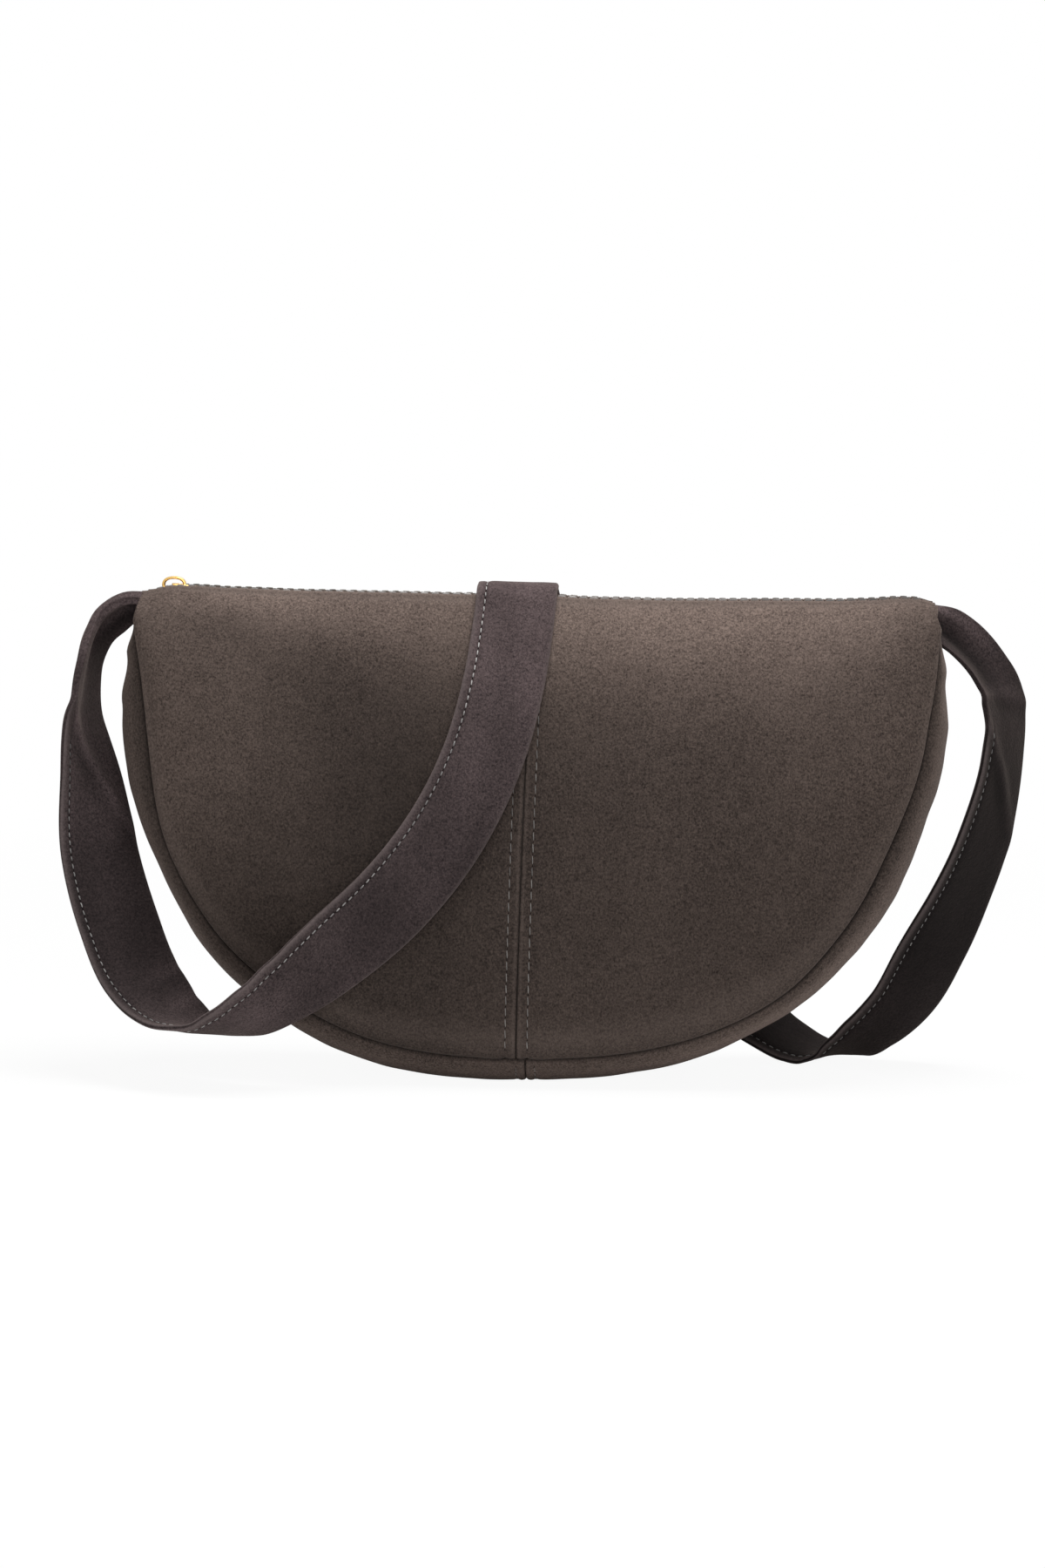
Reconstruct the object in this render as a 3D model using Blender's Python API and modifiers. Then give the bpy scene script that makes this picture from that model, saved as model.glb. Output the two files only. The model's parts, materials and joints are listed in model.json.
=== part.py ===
"""Half-moon suede shoulder bag with a zip top and one long flat strap.

Metres, +Z up, X along the zip, -Y to the front. The origin is on the floor, under the middle of the
zip. The bag stands on the flat spot of its gusset, with the strap lying loosely round it.
"""

import math

import bmesh
import bpy
import numpy as np
from mathutils import Matrix, Vector

# The bag's body
TOP_HEIGHT = 0.205
TOP_HALF_WIDTH = 0.1660
SEAM_HALF_WIDTH = 0.1656
SEAM_DROP = 0.193
SEAM_ROUNDNESS = 2.50
SEAM_FLARE = 0.004
FLARE_START = 0.150
CORNER_DROP = 0.0125
BASE_HALF_DEPTH = 0.036
CORNER_HALF_DEPTH = 0.013
BELLY = 0.0140
CORNER_BELLY = 0.0020
GUSSET_SEAM_X = -0.0008
LEAN = 0.022

# A full soft bag isn't quite even. Millimetres: how far its top edge is above or below TOP_HEIGHT
# along its width, with a rise over the slider, how far it sways to one side at each height, and how
# far the gusset bulges at each share of its length.
TOP_LINE = (
    (-166, -0.4), (-152, 2.0), (-145, 1.9), (-128, 1.1), (-95, 0.3), (-60, 0.0), (-30, -0.4),
    (0, -0.7), (30, -1.5), (55, -1.8), (80, -1.6), (105, -1.3), (125, -1.3), (140, -0.8),
    (153, 0.1), (166, -0.1),
)
SWAY = ((0, 1.0), (28, 1.1), (65, -1.5), (95, -1.8), (146, 1.6), (168, 1.9), (190, 1.0), (206, 0))
GUSSET_BULGE = (
    (-1.0, 0.4), (-0.82, 15.0), (-0.63, 11.2), (-0.44, 14.6), (-0.1, 14.0), (0.2, 13.0),
    (0.38, 10.8), (0.62, 13.9), (0.84, 9.0), (1.0, 0.4),
)

# Materials' thickness and the gap that sewn pieces keep
SUEDE = 0.0014
LINING = 0.0007
GAP = 0.0003

# The turned top edge
HEM_HALF_DEPTH = 0.0058
CORNER_HEM_HALF_DEPTH = 0.0070
FOLD_RADIUS = 0.0016

# The zip
CHAIN_DROP = 0.0041
CHAIN_HEIGHT = TOP_HEIGHT - CHAIN_DROP
TOOTH_PITCH = 0.003
TOOTH_WIDTH = 0.0014
TOOTH_TIP_WIDTH = 0.0011
TOOTH_REACH = 0.0008
TOOTH_THICKNESS = 0.0029
TOOTH_ROOT = 0.0016
CHAIN_HALF_WIDTH = 0.0031
TAPE_THICKNESS = 0.0006
TAPE_OUTER = 0.0069
TAPE_HALF_LENGTH = 0.1615
CHAIN_END = 0.1500
STOP_LENGTH = 0.0020
STOP_HEIGHT = 0.0032

# The slider, at the closed end of the zip
SLIDER_X = -0.1536
SLIDER_LENGTH = 0.0115
SLIDER_HALF_WIDTH = 0.0052
SLIDER_TAIL_HALF_WIDTH = 0.0044
PLATE_THICKNESS = 0.0012
SLIDER_CLEARANCE = 0.00035
POST_LENGTH = 0.0030
POST_WIDTH = 0.0022
BAIL_HEIGHT = 0.0068
BAIL_HALF_LENGTH = 0.0051
BAIL_THICKNESS = 0.0011
BAIL_WIDTH = 0.0030

# The pull tab, whose bar turns inside the bail
TAB_AXIS_HEIGHT = 0.0030
TAB_THICKNESS = 0.0015
TAB_LENGTH = 0.029
TAB_EYE_HALF_WIDTH = 0.0036
TAB_NECK_HALF_WIDTH = 0.0022
TAB_PADDLE_HALF_WIDTH = 0.0038
TAB_BAR = 0.0016
TAB_SLOT_END = 0.0058
TAB_DROOP = math.radians(6.5)

# The pocket on the back lining
POCKET_HALF_WIDTH = 0.062
POCKET_BOTTOM = 0.085
POCKET_TOP = 0.165

# The strap: its width, its thickness, and where it lies
STRAP_WIDTH = 0.0340
STRAP_THICKNESS = 0.0028
STRAP_EDGE_THICKNESS = 0.0020
STRAP_STEP = 0.0100
ROUTE_TOP = 0.205

# Each line: centre of the strap, direction across it from the sewn to the folded edge, the share of
# its width that it spans there, and how far its middle crowns outwards. Millimetres, for a bag whose
# top is at ROUTE_TOP.
STRAP_ROUTE = (
    ((-165.0, 0, 199.4), (0, 10, -8), 0.40, 1.5),
    ((-173.0, 0, 199.0), (2, 12, -9), 0.46, 2.6),
    ((-181.0, 0, 193.3), (6, 17, -11), 0.64, 4.2),
    ((-186.0, -1, 182.5), (6, 26, -9), 0.84, 4.5),
    ((-189.5, -2, 170.0), (4, 31, -2), 0.95, 3.0),
    ((-192.0, -4, 152.0), (9, 32, -1), 0.99, 1.5),
    ((-187.0, -10, 123.0), (21.5, 26, 0), 1.0, 0.8),
    ((-181.0, -20, 92.0), (30, 13, 3), 1.0, 0.8),
    ((-172.6, -30, 66.0), (31, 10, 5), 1.0, 0.8),
    ((-161.6, -40, 45.0), (28, 17, 10), 1.0, 1.0),
    ((-145.0, -51, 30.5), (20, 27, 4), 1.0, 1.5),
    ((-130.5, -57, 26.5), (12, 31, -6), 1.0, 2.0),
    ((-115.0, -61, 31.5), (11, 27, -18), 1.0, 2.0),
    ((-97.6, -61, 43.0), (15, 19, -24), 1.0, 1.5),
    ((-77.0, -56, 59.5), (19, 8, -26), 1.0, 1.0),
    ((-56.3, -52.0, 78.5), (20, 2, -24), 1.0, 1.0),
    ((-34.5, -46.3, 106.5), (27, -2.7, -17), 1.0, 0.6),
    ((-19.3, -38.9, 138.0), (31, -3.2, -12), 1.0, 0.6),
    ((-11.2, -28.1, 169.5), (33, -1.9, -5), 1.0, 0.5),
    ((-8.3, -18.2, 191.5), (34, -0.4, -1), 1.0, 0.4),
    ((-7.6, -13.7, 199.2), (34, -0.6, -1), 1.0, 0.3),
    ((-7.2, -11.2, 204.2), (34, 0, -1), 1.0, 0.2),
    ((-7.1, -8.2, 206.9), (34, 0, -1), 1.0, 0.2),
    ((-6.9, -4.5, 208.0), (34, 0, -1), 1.0, 0.2),
    ((-6.7, 0, 208.3), (34, 0, -1), 1.0, 0.2),
    ((-6.4, 4.5, 208.0), (34, 0, 0), 1.0, 0.2),
    ((-6.1, 8.2, 206.9), (34, 0, 1), 1.0, 0.2),
    ((-5.6, 11.2, 204.2), (34, 0, 2), 1.0, 0.2),
    ((-4.0, 13.8, 199.2), (34, -2.4, 4), 1.0, 0.3),
    ((-0.5, 18.1, 191.5), (33, -3.6, 7), 1.0, 0.4),
    ((8.5, 28.2, 169.5), (30, -5.7, 14), 1.0, 0.5),
    ((22.5, 37.8, 142.0), (28, -4.9, 17), 1.0, 0.6),
    ((42.0, 45.9, 109.0), (28, -2.7, 18), 1.0, 0.6),
    ((60.0, 50.3, 77.0), (27, 0, 19), 1.0, 0.8),
    ((77.5, 51.5, 48.0), (24, 4, 19), 1.0, 0.8),
    ((92.0, 50.3, 26.5), (18, 12, 17), 1.0, 0.8),
    ((103.5, 47.5, 14.3), (10, 24, 11), 1.0, 0.8),
    ((113.0, 47.0, 7.5), (8, 28, 6), 1.0, 0.6),
    ((122.5, 47.5, 4.15), (6, 28, 3), 1.0, 0.5),
    ((131.0, 48.0, 3.0), (12, 27, 1), 1.0, 0.4),
    ((138.2, 47.8, 3.6), (17, 27, 1), 1.0, 0.4),
    ((146.8, 45.0, 10.8), (23, 25, -8), 1.0, 0.5),
    ((158.5, 37.5, 26.5), (25, 20, -13), 1.0, 0.8),
    ((171.2, 27.0, 51.0), (25, 18, -12), 1.0, 0.8),
    ((182.5, 17.5, 77.4), (24, 22, -7), 1.0, 0.8),
    ((191.4, 9.5, 103.0), (23, 24, -3), 1.0, 0.8),
    ((198.0, 5.0, 137.6), (19, 28, -1), 1.0, 0.6),
    ((197.4, 2.5, 162.0), (18, 25, 2), 0.92, -0.5),
    ((189.2, 1.0, 181.5), (14, 19, 8), 0.74, -2.5),
    ((181.3, 0, 193.3), (7, 16, 11), 0.60, -2.8),
    ((173.0, 0, 199.0), (1, 12, 9), 0.46, -2.2),
    ((165.0, 0, 199.4), (0, 10, 8), 0.40, -1.5),
)

# Colours, as scene-linear red, green and blue
BODY_SUEDE = (0.062, 0.047, 0.041)
STRAP_SUEDE = (0.045, 0.034, 0.034)
LINING_CLOTH = (0.050, 0.043, 0.040)
TAPE_CLOTH = (0.030, 0.025, 0.024)
GOLD = (0.70, 0.47, 0.15)


def clear_scene():
    for old in list(bpy.data.objects):
        bpy.data.objects.remove(old, do_unlink=True)


def new_collection(name):
    collection = bpy.data.collections.new(name)
    bpy.context.scene.collection.children.link(collection)
    return collection


def make_material(name, colour, roughness, metallic=0.0):
    material = bpy.data.materials.new(name)
    material.use_nodes = True
    shader = material.node_tree.nodes["Principled BSDF"]
    shader.inputs["Base Color"].default_value = (*colour, 1.0)
    shader.inputs["Roughness"].default_value = roughness
    shader.inputs["Metallic"].default_value = metallic
    return material


def add_object(name, data, collection, material=None):
    piece = bpy.data.objects.new(name, data)
    collection.objects.link(piece)
    if material:
        data.materials.append(material)
    return piece


def smooth_step(value, start, end):
    share = min(max((value - start) / (end - start), 0.0), 1.0)
    return share * share * (3 - 2 * share)


def read_table(table, value):
    """A smooth curve through a table's points, in the table's own units."""
    for (start, first), (end, last) in zip(table, table[1:]):
        if value <= end or end == table[-1][0]:
            return first + (last - first) * smooth_step(value, start, end)


def sway(x, z):
    """The sides sway as the table says. The middle leans evenly, so that its seam stays straight."""
    side = min(abs(x) / 0.11, 1.0) ** 2
    return x + side * read_table(SWAY, z * 1000) / 1000 - (1 - side) * LEAN * (TOP_HEIGHT - z)


class SeamLine:
    """The half-moon line where panels and gusset meet, read by its share of the length: -1 to 1."""

    def __init__(self, samples=1441):
        last = math.acos((CORNER_DROP / SEAM_DROP) ** (SEAM_ROUNDNESS / 2))
        turn = np.linspace(-last, last, samples)
        power = 2 / SEAM_ROUNDNESS
        across = SEAM_HALF_WIDTH * np.sign(np.sin(turn)) * np.abs(np.sin(turn)) ** power
        height = TOP_HEIGHT - SEAM_DROP * np.cos(turn) ** power
        flare_end = TOP_HEIGHT - CORNER_DROP
        flare = np.clip((height - FLARE_START) / (flare_end - FLARE_START), 0, 1) ** 1.5
        self.x = across + np.sign(turn) * SEAM_FLARE * flare
        self.z = height
        steps = np.hypot(np.diff(self.x), np.diff(self.z))
        along = np.concatenate([[0], np.cumsum(steps)])
        self.half_length = along[-1] / 2
        self.share = along / self.half_length - 1

    def point(self, share):
        return float(np.interp(share, self.share, self.x)), float(np.interp(share, self.share, self.z))

    def outward(self, share):
        step = 0.004
        x0, z0 = self.point(max(share - step, -1))
        x1, z1 = self.point(min(share + step, 1))
        length = math.hypot(x1 - x0, z1 - z0)
        return (z1 - z0) / length, -(x1 - x0) / length


SEAM = SeamLine()


def seam_half_depth(height):
    return CORNER_HALF_DEPTH + (BASE_HALF_DEPTH - CORNER_HALF_DEPTH) * (1 - (height / TOP_HEIGHT) ** 3)


def hem_half_depth(share):
    return HEM_HALF_DEPTH + (CORNER_HEM_HALF_DEPTH - HEM_HALF_DEPTH) * abs(share) ** 6


def fold_height(share):
    return TOP_HEIGHT + read_table(TOP_LINE, share * TOP_HALF_WIDTH * 1000) / 1000


def belly_profile(rise):
    """How the panel swells from the seam, 0, to the fold, 1: steep at the seam, slower at the top."""
    peak = 0.385
    return rise**0.5 * (1 - rise) ** 0.8 / (peak**0.5 * (1 - peak) ** 0.8)


def panel_point(share, rise):
    """A point of the front panel's outer face: share runs along the seam, rise from it to the fold."""
    seam_x, seam_z = SEAM.point(share)
    top_x, top_z = share * TOP_HALF_WIDTH, fold_height(share) - FOLD_RADIUS
    x = (1 - rise) * seam_x + rise * top_x
    z = (1 - rise) * seam_z + rise * top_z
    seam_depth = seam_half_depth(seam_z)
    belly = CORNER_BELLY + (BELLY - CORNER_BELLY) * (1 - abs(share) ** 2.5)
    depth = seam_depth + (hem_half_depth(share) + 2 * FOLD_RADIUS - seam_depth) * rise**2.2
    depth += belly * belly_profile(rise)
    return Vector((sway(x, z), -depth, z))


def hem_point(share, turn):
    """The turned edge: a half round over the fold (turn 0 to 1), then straight down (to 2)."""
    top = panel_point(share, 1.0)
    angle = min(turn, 1.0) * math.pi
    y = top.y + FOLD_RADIUS * (1 - math.cos(angle))
    z = top.z + FOLD_RADIUS * math.sin(angle)
    hem_end = CHAIN_HEIGHT + TAPE_THICKNESS / 2 + GAP
    z += (hem_end - z) * max(turn - 1.0, 0.0)
    return Vector((top.x, y, z))


def gusset_point(share, across):
    """A point of the gusset's outer face: across runs from the front seam, -1, to the back seam, 1."""
    x, z = SEAM.point(share)
    out_x, out_z = SEAM.outward(share)
    bulge = read_table(GUSSET_BULGE, share) / 1000 * max(1 - across * across, 0.0) ** 0.5
    x += out_x * bulge
    z = max(z + out_z * bulge, 0.0)
    y = across * (seam_half_depth(SEAM.point(share)[1]) - GAP)
    return Vector((sway(x, z), y, z))


def sheet_mesh(name, place, columns, rows, reverse=False):
    """A grid whose points are put in place by place(column share 0..1, row share 0..1)."""
    shape = bmesh.new()
    bmesh.ops.create_grid(shape, x_segments=columns, y_segments=rows, size=1.0)
    for point in shape.verts:
        point.co = place((point.co.x + 1) / 2, (point.co.y + 1) / 2)
    if reverse:
        bmesh.ops.reverse_faces(shape, faces=shape.faces[:])
    mesh = bpy.data.meshes.new(name)
    shape.to_mesh(mesh)
    shape.free()
    return mesh


def move_inwards(mesh, distance, kept_height=None):
    """Moves each point against its normal, so that one layer lies inside another."""
    shape = bmesh.new()
    shape.from_mesh(mesh)
    shape.normal_update()
    kept = -1.0 if kept_height is None else kept_height
    moved = [(point, point.co - point.normal * distance) for point in shape.verts]
    for point, place in moved:
        if abs(point.co.z - kept) > 0.000005:
            point.co = place
    shape.to_mesh(mesh)
    shape.free()


def add_wall(piece, thickness):
    wall = piece.modifiers.new("wall", "SOLIDIFY")
    wall.thickness = thickness
    wall.offset = -1.0
    wall.use_even_offset = True
    piece.data.shade_smooth()
    return piece


PANEL_RISES = (0, 0.02, 0.06, 0.14, 0.26, 0.40, 0.55, 0.69, 0.81, 0.90, 0.96, 1.0)
HEM_TURNS = (0.25, 0.5, 0.75, 1.0, 2.0)


def panel_row(share, row):
    """Reads the rows of a panel, then those of its hem, as one running number."""
    last = len(PANEL_RISES) - 1
    if row <= last:
        return panel_point(share, float(np.interp(row, range(last + 1), PANEL_RISES)))
    turns = (0.0,) + HEM_TURNS
    return hem_point(share, float(np.interp(row - last, range(len(turns)), turns)))


def make_panel(name, start, end, back, collection, material, columns=12):
    rows = len(PANEL_RISES) - 1 + len(HEM_TURNS)

    def place(column, row):
        point = panel_row(start + (end - start) * column, row * rows)
        return Vector((point.x, -point.y, point.z)) if back else point

    mesh = sheet_mesh(name, place, columns, rows, reverse=back)
    return add_wall(add_object(name, mesh, collection, material), SUEDE)


def make_gusset(name, start, end, collection, material, columns=20, rows=8):
    def place(column, row):
        across = math.sin((1 - 2 * row) * math.pi / 2)
        return gusset_point(start + (end - start) * column, across)

    mesh = sheet_mesh(name, place, columns, rows)
    return add_wall(add_object(name, mesh, collection, material), SUEDE)


LINING_RISES = (0.02, 0.06, 0.14, 0.26, 0.40, 0.55, 0.69, 0.81, 0.90)
LINING_INSET = SUEDE + 2 * GAP
LINING_TOP = CHAIN_HEIGHT - TAPE_THICKNESS / 2 - GAP


def make_lining_panel(name, back, collection, material, columns=24):
    """The lining follows the panel, and ends under the zip's tape at the top."""
    rows = len(LINING_RISES)

    def place(column, row):
        share = (2 * column - 1) * 0.985
        at = row * rows
        low, high = panel_point(share, 0.0).z, panel_point(share, 1.0).z
        reach = min((LINING_TOP - 0.004 - low) / (high - low) / LINING_RISES[-1], 1.0)
        rise = float(np.interp(min(at, rows - 1), range(rows), LINING_RISES))
        point = panel_point(share, rise * reach)
        if at > rows - 1:
            point = panel_point(share, 1.0)
            point.y = -TAPE_OUTER
            point.z = LINING_TOP
        return Vector((point.x, -point.y, point.z)) if back else point

    mesh = sheet_mesh(name, place, columns, rows, reverse=back)
    move_inwards(mesh, LINING_INSET, kept_height=LINING_TOP)
    return add_wall(add_object(name, mesh, collection, material), LINING)


def make_lining_gusset(collection, material, columns=40, rows=6):
    def place(column, row):
        across = math.sin((1 - 2 * row) * math.pi / 2) * 0.93
        return gusset_point((2 * column - 1) * 0.985, across)

    mesh = sheet_mesh("lining_gusset", place, columns, rows)
    move_inwards(mesh, LINING_INSET + GAP)
    return add_wall(add_object("lining_gusset", mesh, collection, material), LINING)


def panel_at(x, height):
    """The point of the panel's outer face at a place seen from the front."""
    share, rise = 0.0, 0.5
    for _ in range(60):
        point = panel_point(share, rise)
        rise = min(max(rise + 3 * (height - point.z), 0.0), 1.0)
        share = min(max(share + 3 * (x - point.x), -1.0), 1.0)
    return panel_point(share, rise)


def make_pocket(collection, material, columns=8, rows=4):
    """A flat pocket sewn to the back lining, open along its top edge."""
    inset = LINING_INSET + LINING + 2.5 * GAP

    def place(column, row):
        height = POCKET_BOTTOM + (POCKET_TOP - POCKET_BOTTOM) * row
        point = panel_at((2 * column - 1) * POCKET_HALF_WIDTH, height)
        return Vector((point.x, -point.y, point.z))

    mesh = sheet_mesh("inner_slip_pocket", place, columns, rows, reverse=True)
    move_inwards(mesh, inset)
    return add_wall(add_object("inner_slip_pocket", mesh, collection, material), LINING)


def outline_curve(name, outlines, thickness, collection):
    """A flat plate from closed outlines: the second and later ones are holes."""
    curve = bpy.data.curves.new(name, "CURVE")
    curve.dimensions = "2D"
    curve.fill_mode = "BOTH"
    curve.extrude = thickness / 2
    for outline in outlines:
        spline = curve.splines.new("POLY")
        spline.points.add(len(outline) - 1)
        for point, (x, y) in zip(spline.points, outline):
            point.co = (x, y, 0, 1)
        spline.use_cyclic_u = True
    return add_object(name, curve, collection)


def as_mesh(piece, collection, material=None):
    """Replaces a curve object by a mesh object with its caps welded, so that a Boolean can use it."""
    bpy.context.view_layer.update()
    graph = bpy.context.evaluated_depsgraph_get()
    mesh = bpy.data.meshes.new_from_object(piece.evaluated_get(graph))
    shape = bmesh.new()
    shape.from_mesh(mesh)
    bmesh.ops.remove_doubles(shape, verts=shape.verts[:], dist=0.00001)
    bmesh.ops.recalc_face_normals(shape, faces=shape.faces[:])
    shape.to_mesh(mesh)
    shape.free()
    name, place = piece.name, piece.matrix_world.copy()
    bpy.data.objects.remove(piece, do_unlink=True)
    mesh.materials.clear()
    solid = add_object(name, mesh, collection, material)
    solid.matrix_world = place
    return solid


def make_tape(name, side, collection, material):
    """The woven tape from the teeth's cord to the sewn edge: a thin strip under the fold."""
    inner, outer = CHAIN_HALF_WIDTH + GAP, TAPE_OUTER
    shape = bmesh.new()
    size = (2 * TAPE_HALF_LENGTH, outer - inner, TAPE_THICKNESS)
    centre = (0, side * (inner + outer) / 2, CHAIN_HEIGHT)
    bmesh.ops.create_cube(shape, size=1.0, matrix=Matrix.LocRotScale(centre, None, size))
    mesh = bpy.data.meshes.new(name)
    shape.to_mesh(mesh)
    shape.free()
    return add_object(name, mesh, collection, material)


def make_teeth(name, side, collection, material):
    """One row of teeth on its cord, as one comb. The two rows are half a pitch apart."""
    start = SLIDER_X - SLIDER_LENGTH / 2 + POST_LENGTH + TOOTH_PITCH
    start += 0.0 if side < 0 else TOOTH_PITCH / 2
    outline = []
    count = int((CHAIN_END - start) / TOOTH_PITCH)
    for number in range(count + 1):
        middle = start + number * TOOTH_PITCH
        outline.append((middle - TOOTH_WIDTH / 2, side * TOOTH_ROOT))
        outline.append((middle - TOOTH_TIP_WIDTH / 2, -side * TOOTH_REACH))
        outline.append((middle + TOOTH_TIP_WIDTH / 2, -side * TOOTH_REACH))
        outline.append((middle + TOOTH_WIDTH / 2, side * TOOTH_ROOT))
    outline.append((CHAIN_END + TOOTH_PITCH / 2, side * TOOTH_ROOT))
    outline.append((CHAIN_END + TOOTH_PITCH / 2, side * CHAIN_HALF_WIDTH))
    outline.append((start - TOOTH_PITCH / 2, side * CHAIN_HALF_WIDTH))
    outline.append((start - TOOTH_PITCH / 2, side * TOOTH_ROOT))
    comb = outline_curve(name, [outline], TOOTH_THICKNESS, collection)
    comb.location = (0, 0, CHAIN_HEIGHT)
    return as_mesh(comb, collection, material)


def make_block(name, centre, size, bevel, collection, material=None):
    shape = bmesh.new()
    bmesh.ops.create_cube(shape, size=1.0, matrix=Matrix.Diagonal((*size, 1.0)))
    mesh = bpy.data.meshes.new(name)
    shape.to_mesh(mesh)
    shape.free()
    block = add_object(name, mesh, collection, material)
    block.location = centre
    if bevel:
        rounding = block.modifiers.new("rounding", "BEVEL")
        rounding.width = bevel
        rounding.segments = 2
    return block


def make_stops(collection, material):
    """A clamp on the end of each cord at the closed end, and one bar across both at the other."""
    width = CHAIN_HALF_WIDTH - TOOTH_ROOT / 2
    stop_x = SLIDER_X - SLIDER_LENGTH / 2 - GAP - STOP_LENGTH / 2
    for name, side in (("top_stop_front", -1), ("top_stop_back", 1)):
        centre = (stop_x, side * (CHAIN_HALF_WIDTH - width / 2), CHAIN_HEIGHT)
        make_block(name, centre, (STOP_LENGTH, width, STOP_HEIGHT), 0.0004, collection, material)
    stop_x = CHAIN_END + TOOTH_PITCH / 2 + GAP + STOP_LENGTH / 2
    size = (STOP_LENGTH, 2 * CHAIN_HALF_WIDTH, STOP_HEIGHT)
    make_block("bottom_stop", (stop_x, 0, CHAIN_HEIGHT), size, 0.0004, collection, material)


def slider_outline(shrink=0.0):
    """The slider's plan, wide at the nose, where the two rows of teeth come in."""
    nose, tail = -SLIDER_LENGTH / 2 + shrink, SLIDER_LENGTH / 2 - shrink
    wide, narrow = SLIDER_HALF_WIDTH - shrink, SLIDER_TAIL_HALF_WIDTH - shrink
    corner = 0.0016
    upper = [(tail, narrow - corner), (tail - corner * 0.4, narrow - corner * 0.35), (tail - corner, narrow)]
    upper += [(nose + 0.0042, wide), (nose + 0.0022, wide)]
    upper += [(nose + 0.0008, wide - 0.0007), (nose, wide - 0.0022), (nose + 0.0004, 0.0012)]
    lower = [(x, -y) for x, y in reversed(upper)]
    return upper + lower


def arch_outline(half_length, height, steps=10):
    points = []
    for step in range(steps + 1):
        angle = math.pi * step / steps
        points.append((half_length * math.cos(angle), height * math.sin(angle) ** 0.8))
    return points


def make_slider(collection, helpers, material):
    """Two plates joined by the post between them, side flanges round the teeth, and an arched bail."""
    inner = TOOTH_THICKNESS / 2 + SLIDER_CLEARANCE
    plate_middle = inner + PLATE_THICKNESS / 2
    body = as_mesh(
        outline_curve("slider_body", [slider_outline()], PLATE_THICKNESS, collection), collection, material
    )
    body.location = (SLIDER_X, 0, CHAIN_HEIGHT + plate_middle)
    parts = []
    under = outline_curve("slider_lower_plate", [slider_outline()], PLATE_THICKNESS, helpers)
    under = as_mesh(under, helpers)
    under.location = (SLIDER_X, 0, CHAIN_HEIGHT - plate_middle)
    parts.append(under)
    post_height = 2 * inner + PLATE_THICKNESS
    post_x = SLIDER_X - SLIDER_LENGTH / 2 + POST_LENGTH / 2 + 0.0004
    post_size = (POST_LENGTH - 0.0008, POST_WIDTH, post_height)
    parts.append(make_block("slider_post", (post_x, 0, CHAIN_HEIGHT), post_size, 0, helpers))
    slit = TAPE_THICKNESS / 2 + SLIDER_CLEARANCE
    flange_inner = CHAIN_HALF_WIDTH + SLIDER_CLEARANCE
    flange_width = SLIDER_TAIL_HALF_WIDTH - flange_inner
    flange_height = inner - slit + PLATE_THICKNESS / 2
    for side in (-1, 1):
        for level in (-1, 1):
            centre = (
                SLIDER_X + 0.0012,
                side * (flange_inner + flange_width / 2),
                CHAIN_HEIGHT + level * (slit + flange_height / 2),
            )
            size = (SLIDER_LENGTH - 0.0056, flange_width, flange_height)
            parts.append(make_block(f"slider_flange_{side}_{level}", centre, size, 0, helpers))
    sunk = PLATE_THICKNESS / 2
    outer = arch_outline(BAIL_HALF_LENGTH, BAIL_HEIGHT + sunk)
    hollow = arch_outline(BAIL_HALF_LENGTH - BAIL_THICKNESS, BAIL_HEIGHT + sunk - BAIL_THICKNESS)
    bail = outline_curve("slider_bail", [outer + hollow[::-1]], BAIL_WIDTH, helpers)
    bail = as_mesh(bail, helpers)
    bail.rotation_euler = (math.pi / 2, 0, 0)
    bail.location = (SLIDER_X, 0, CHAIN_HEIGHT + inner + PLATE_THICKNESS - sunk)
    parts.append(bail)
    for part in parts:
        part.hide_render = True
        part.display_type = "WIRE"
        join = body.modifiers.new(part.name, "BOOLEAN")
        join.operation = "UNION"
        join.object = part
    return body


def tab_outline():
    """A plain pull: an eye at one end, a neck, and a rounded paddle."""
    half_bar = TAB_BAR / 2
    eye_end = TAB_SLOT_END + 0.0014
    paddle = TAB_PADDLE_HALF_WIDTH
    centre_x = TAB_LENGTH - paddle
    upper = [(-half_bar, 0.0022), (-half_bar + 0.0006, TAB_EYE_HALF_WIDTH)]
    upper += [(TAB_SLOT_END - 0.0010, TAB_EYE_HALF_WIDTH), (eye_end, TAB_NECK_HALF_WIDTH)]
    upper += [(eye_end + 0.0050, TAB_NECK_HALF_WIDTH * 0.95)]
    for step in range(7):
        angle = math.radians(110 - step * 110 / 6)
        upper.append((centre_x + paddle * math.cos(angle), paddle * math.sin(angle)))
    return upper + [(x, -y) for x, y in reversed(upper[:-1])]


def tab_slot():
    half_width = BAIL_WIDTH / 2 + 0.0006
    start, end, corner = TAB_BAR / 2, TAB_SLOT_END, 0.0008
    half = [(start, half_width), (end - corner, half_width), (end, half_width - corner)]
    return half + [(x, -y) for x, y in reversed(half)]


def make_pull_tab(collection, material):
    """The tab's own origin is the axis of its bar, inside the bail."""
    plate_top = CHAIN_HEIGHT + TOOTH_THICKNESS / 2 + SLIDER_CLEARANCE + PLATE_THICKNESS
    hinge = bpy.data.objects.new("pull_tab_axis", None)
    collection.objects.link(hinge)
    hinge.location = (SLIDER_X, 0, plate_top + TAB_AXIS_HEIGHT)
    hinge.rotation_euler = (0, TAB_DROOP, 0)
    tab = outline_curve("pull_tab", [tab_outline(), tab_slot()], TAB_THICKNESS, collection)
    tab = as_mesh(tab, collection, material)
    tab.parent = hinge
    return tab


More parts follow.
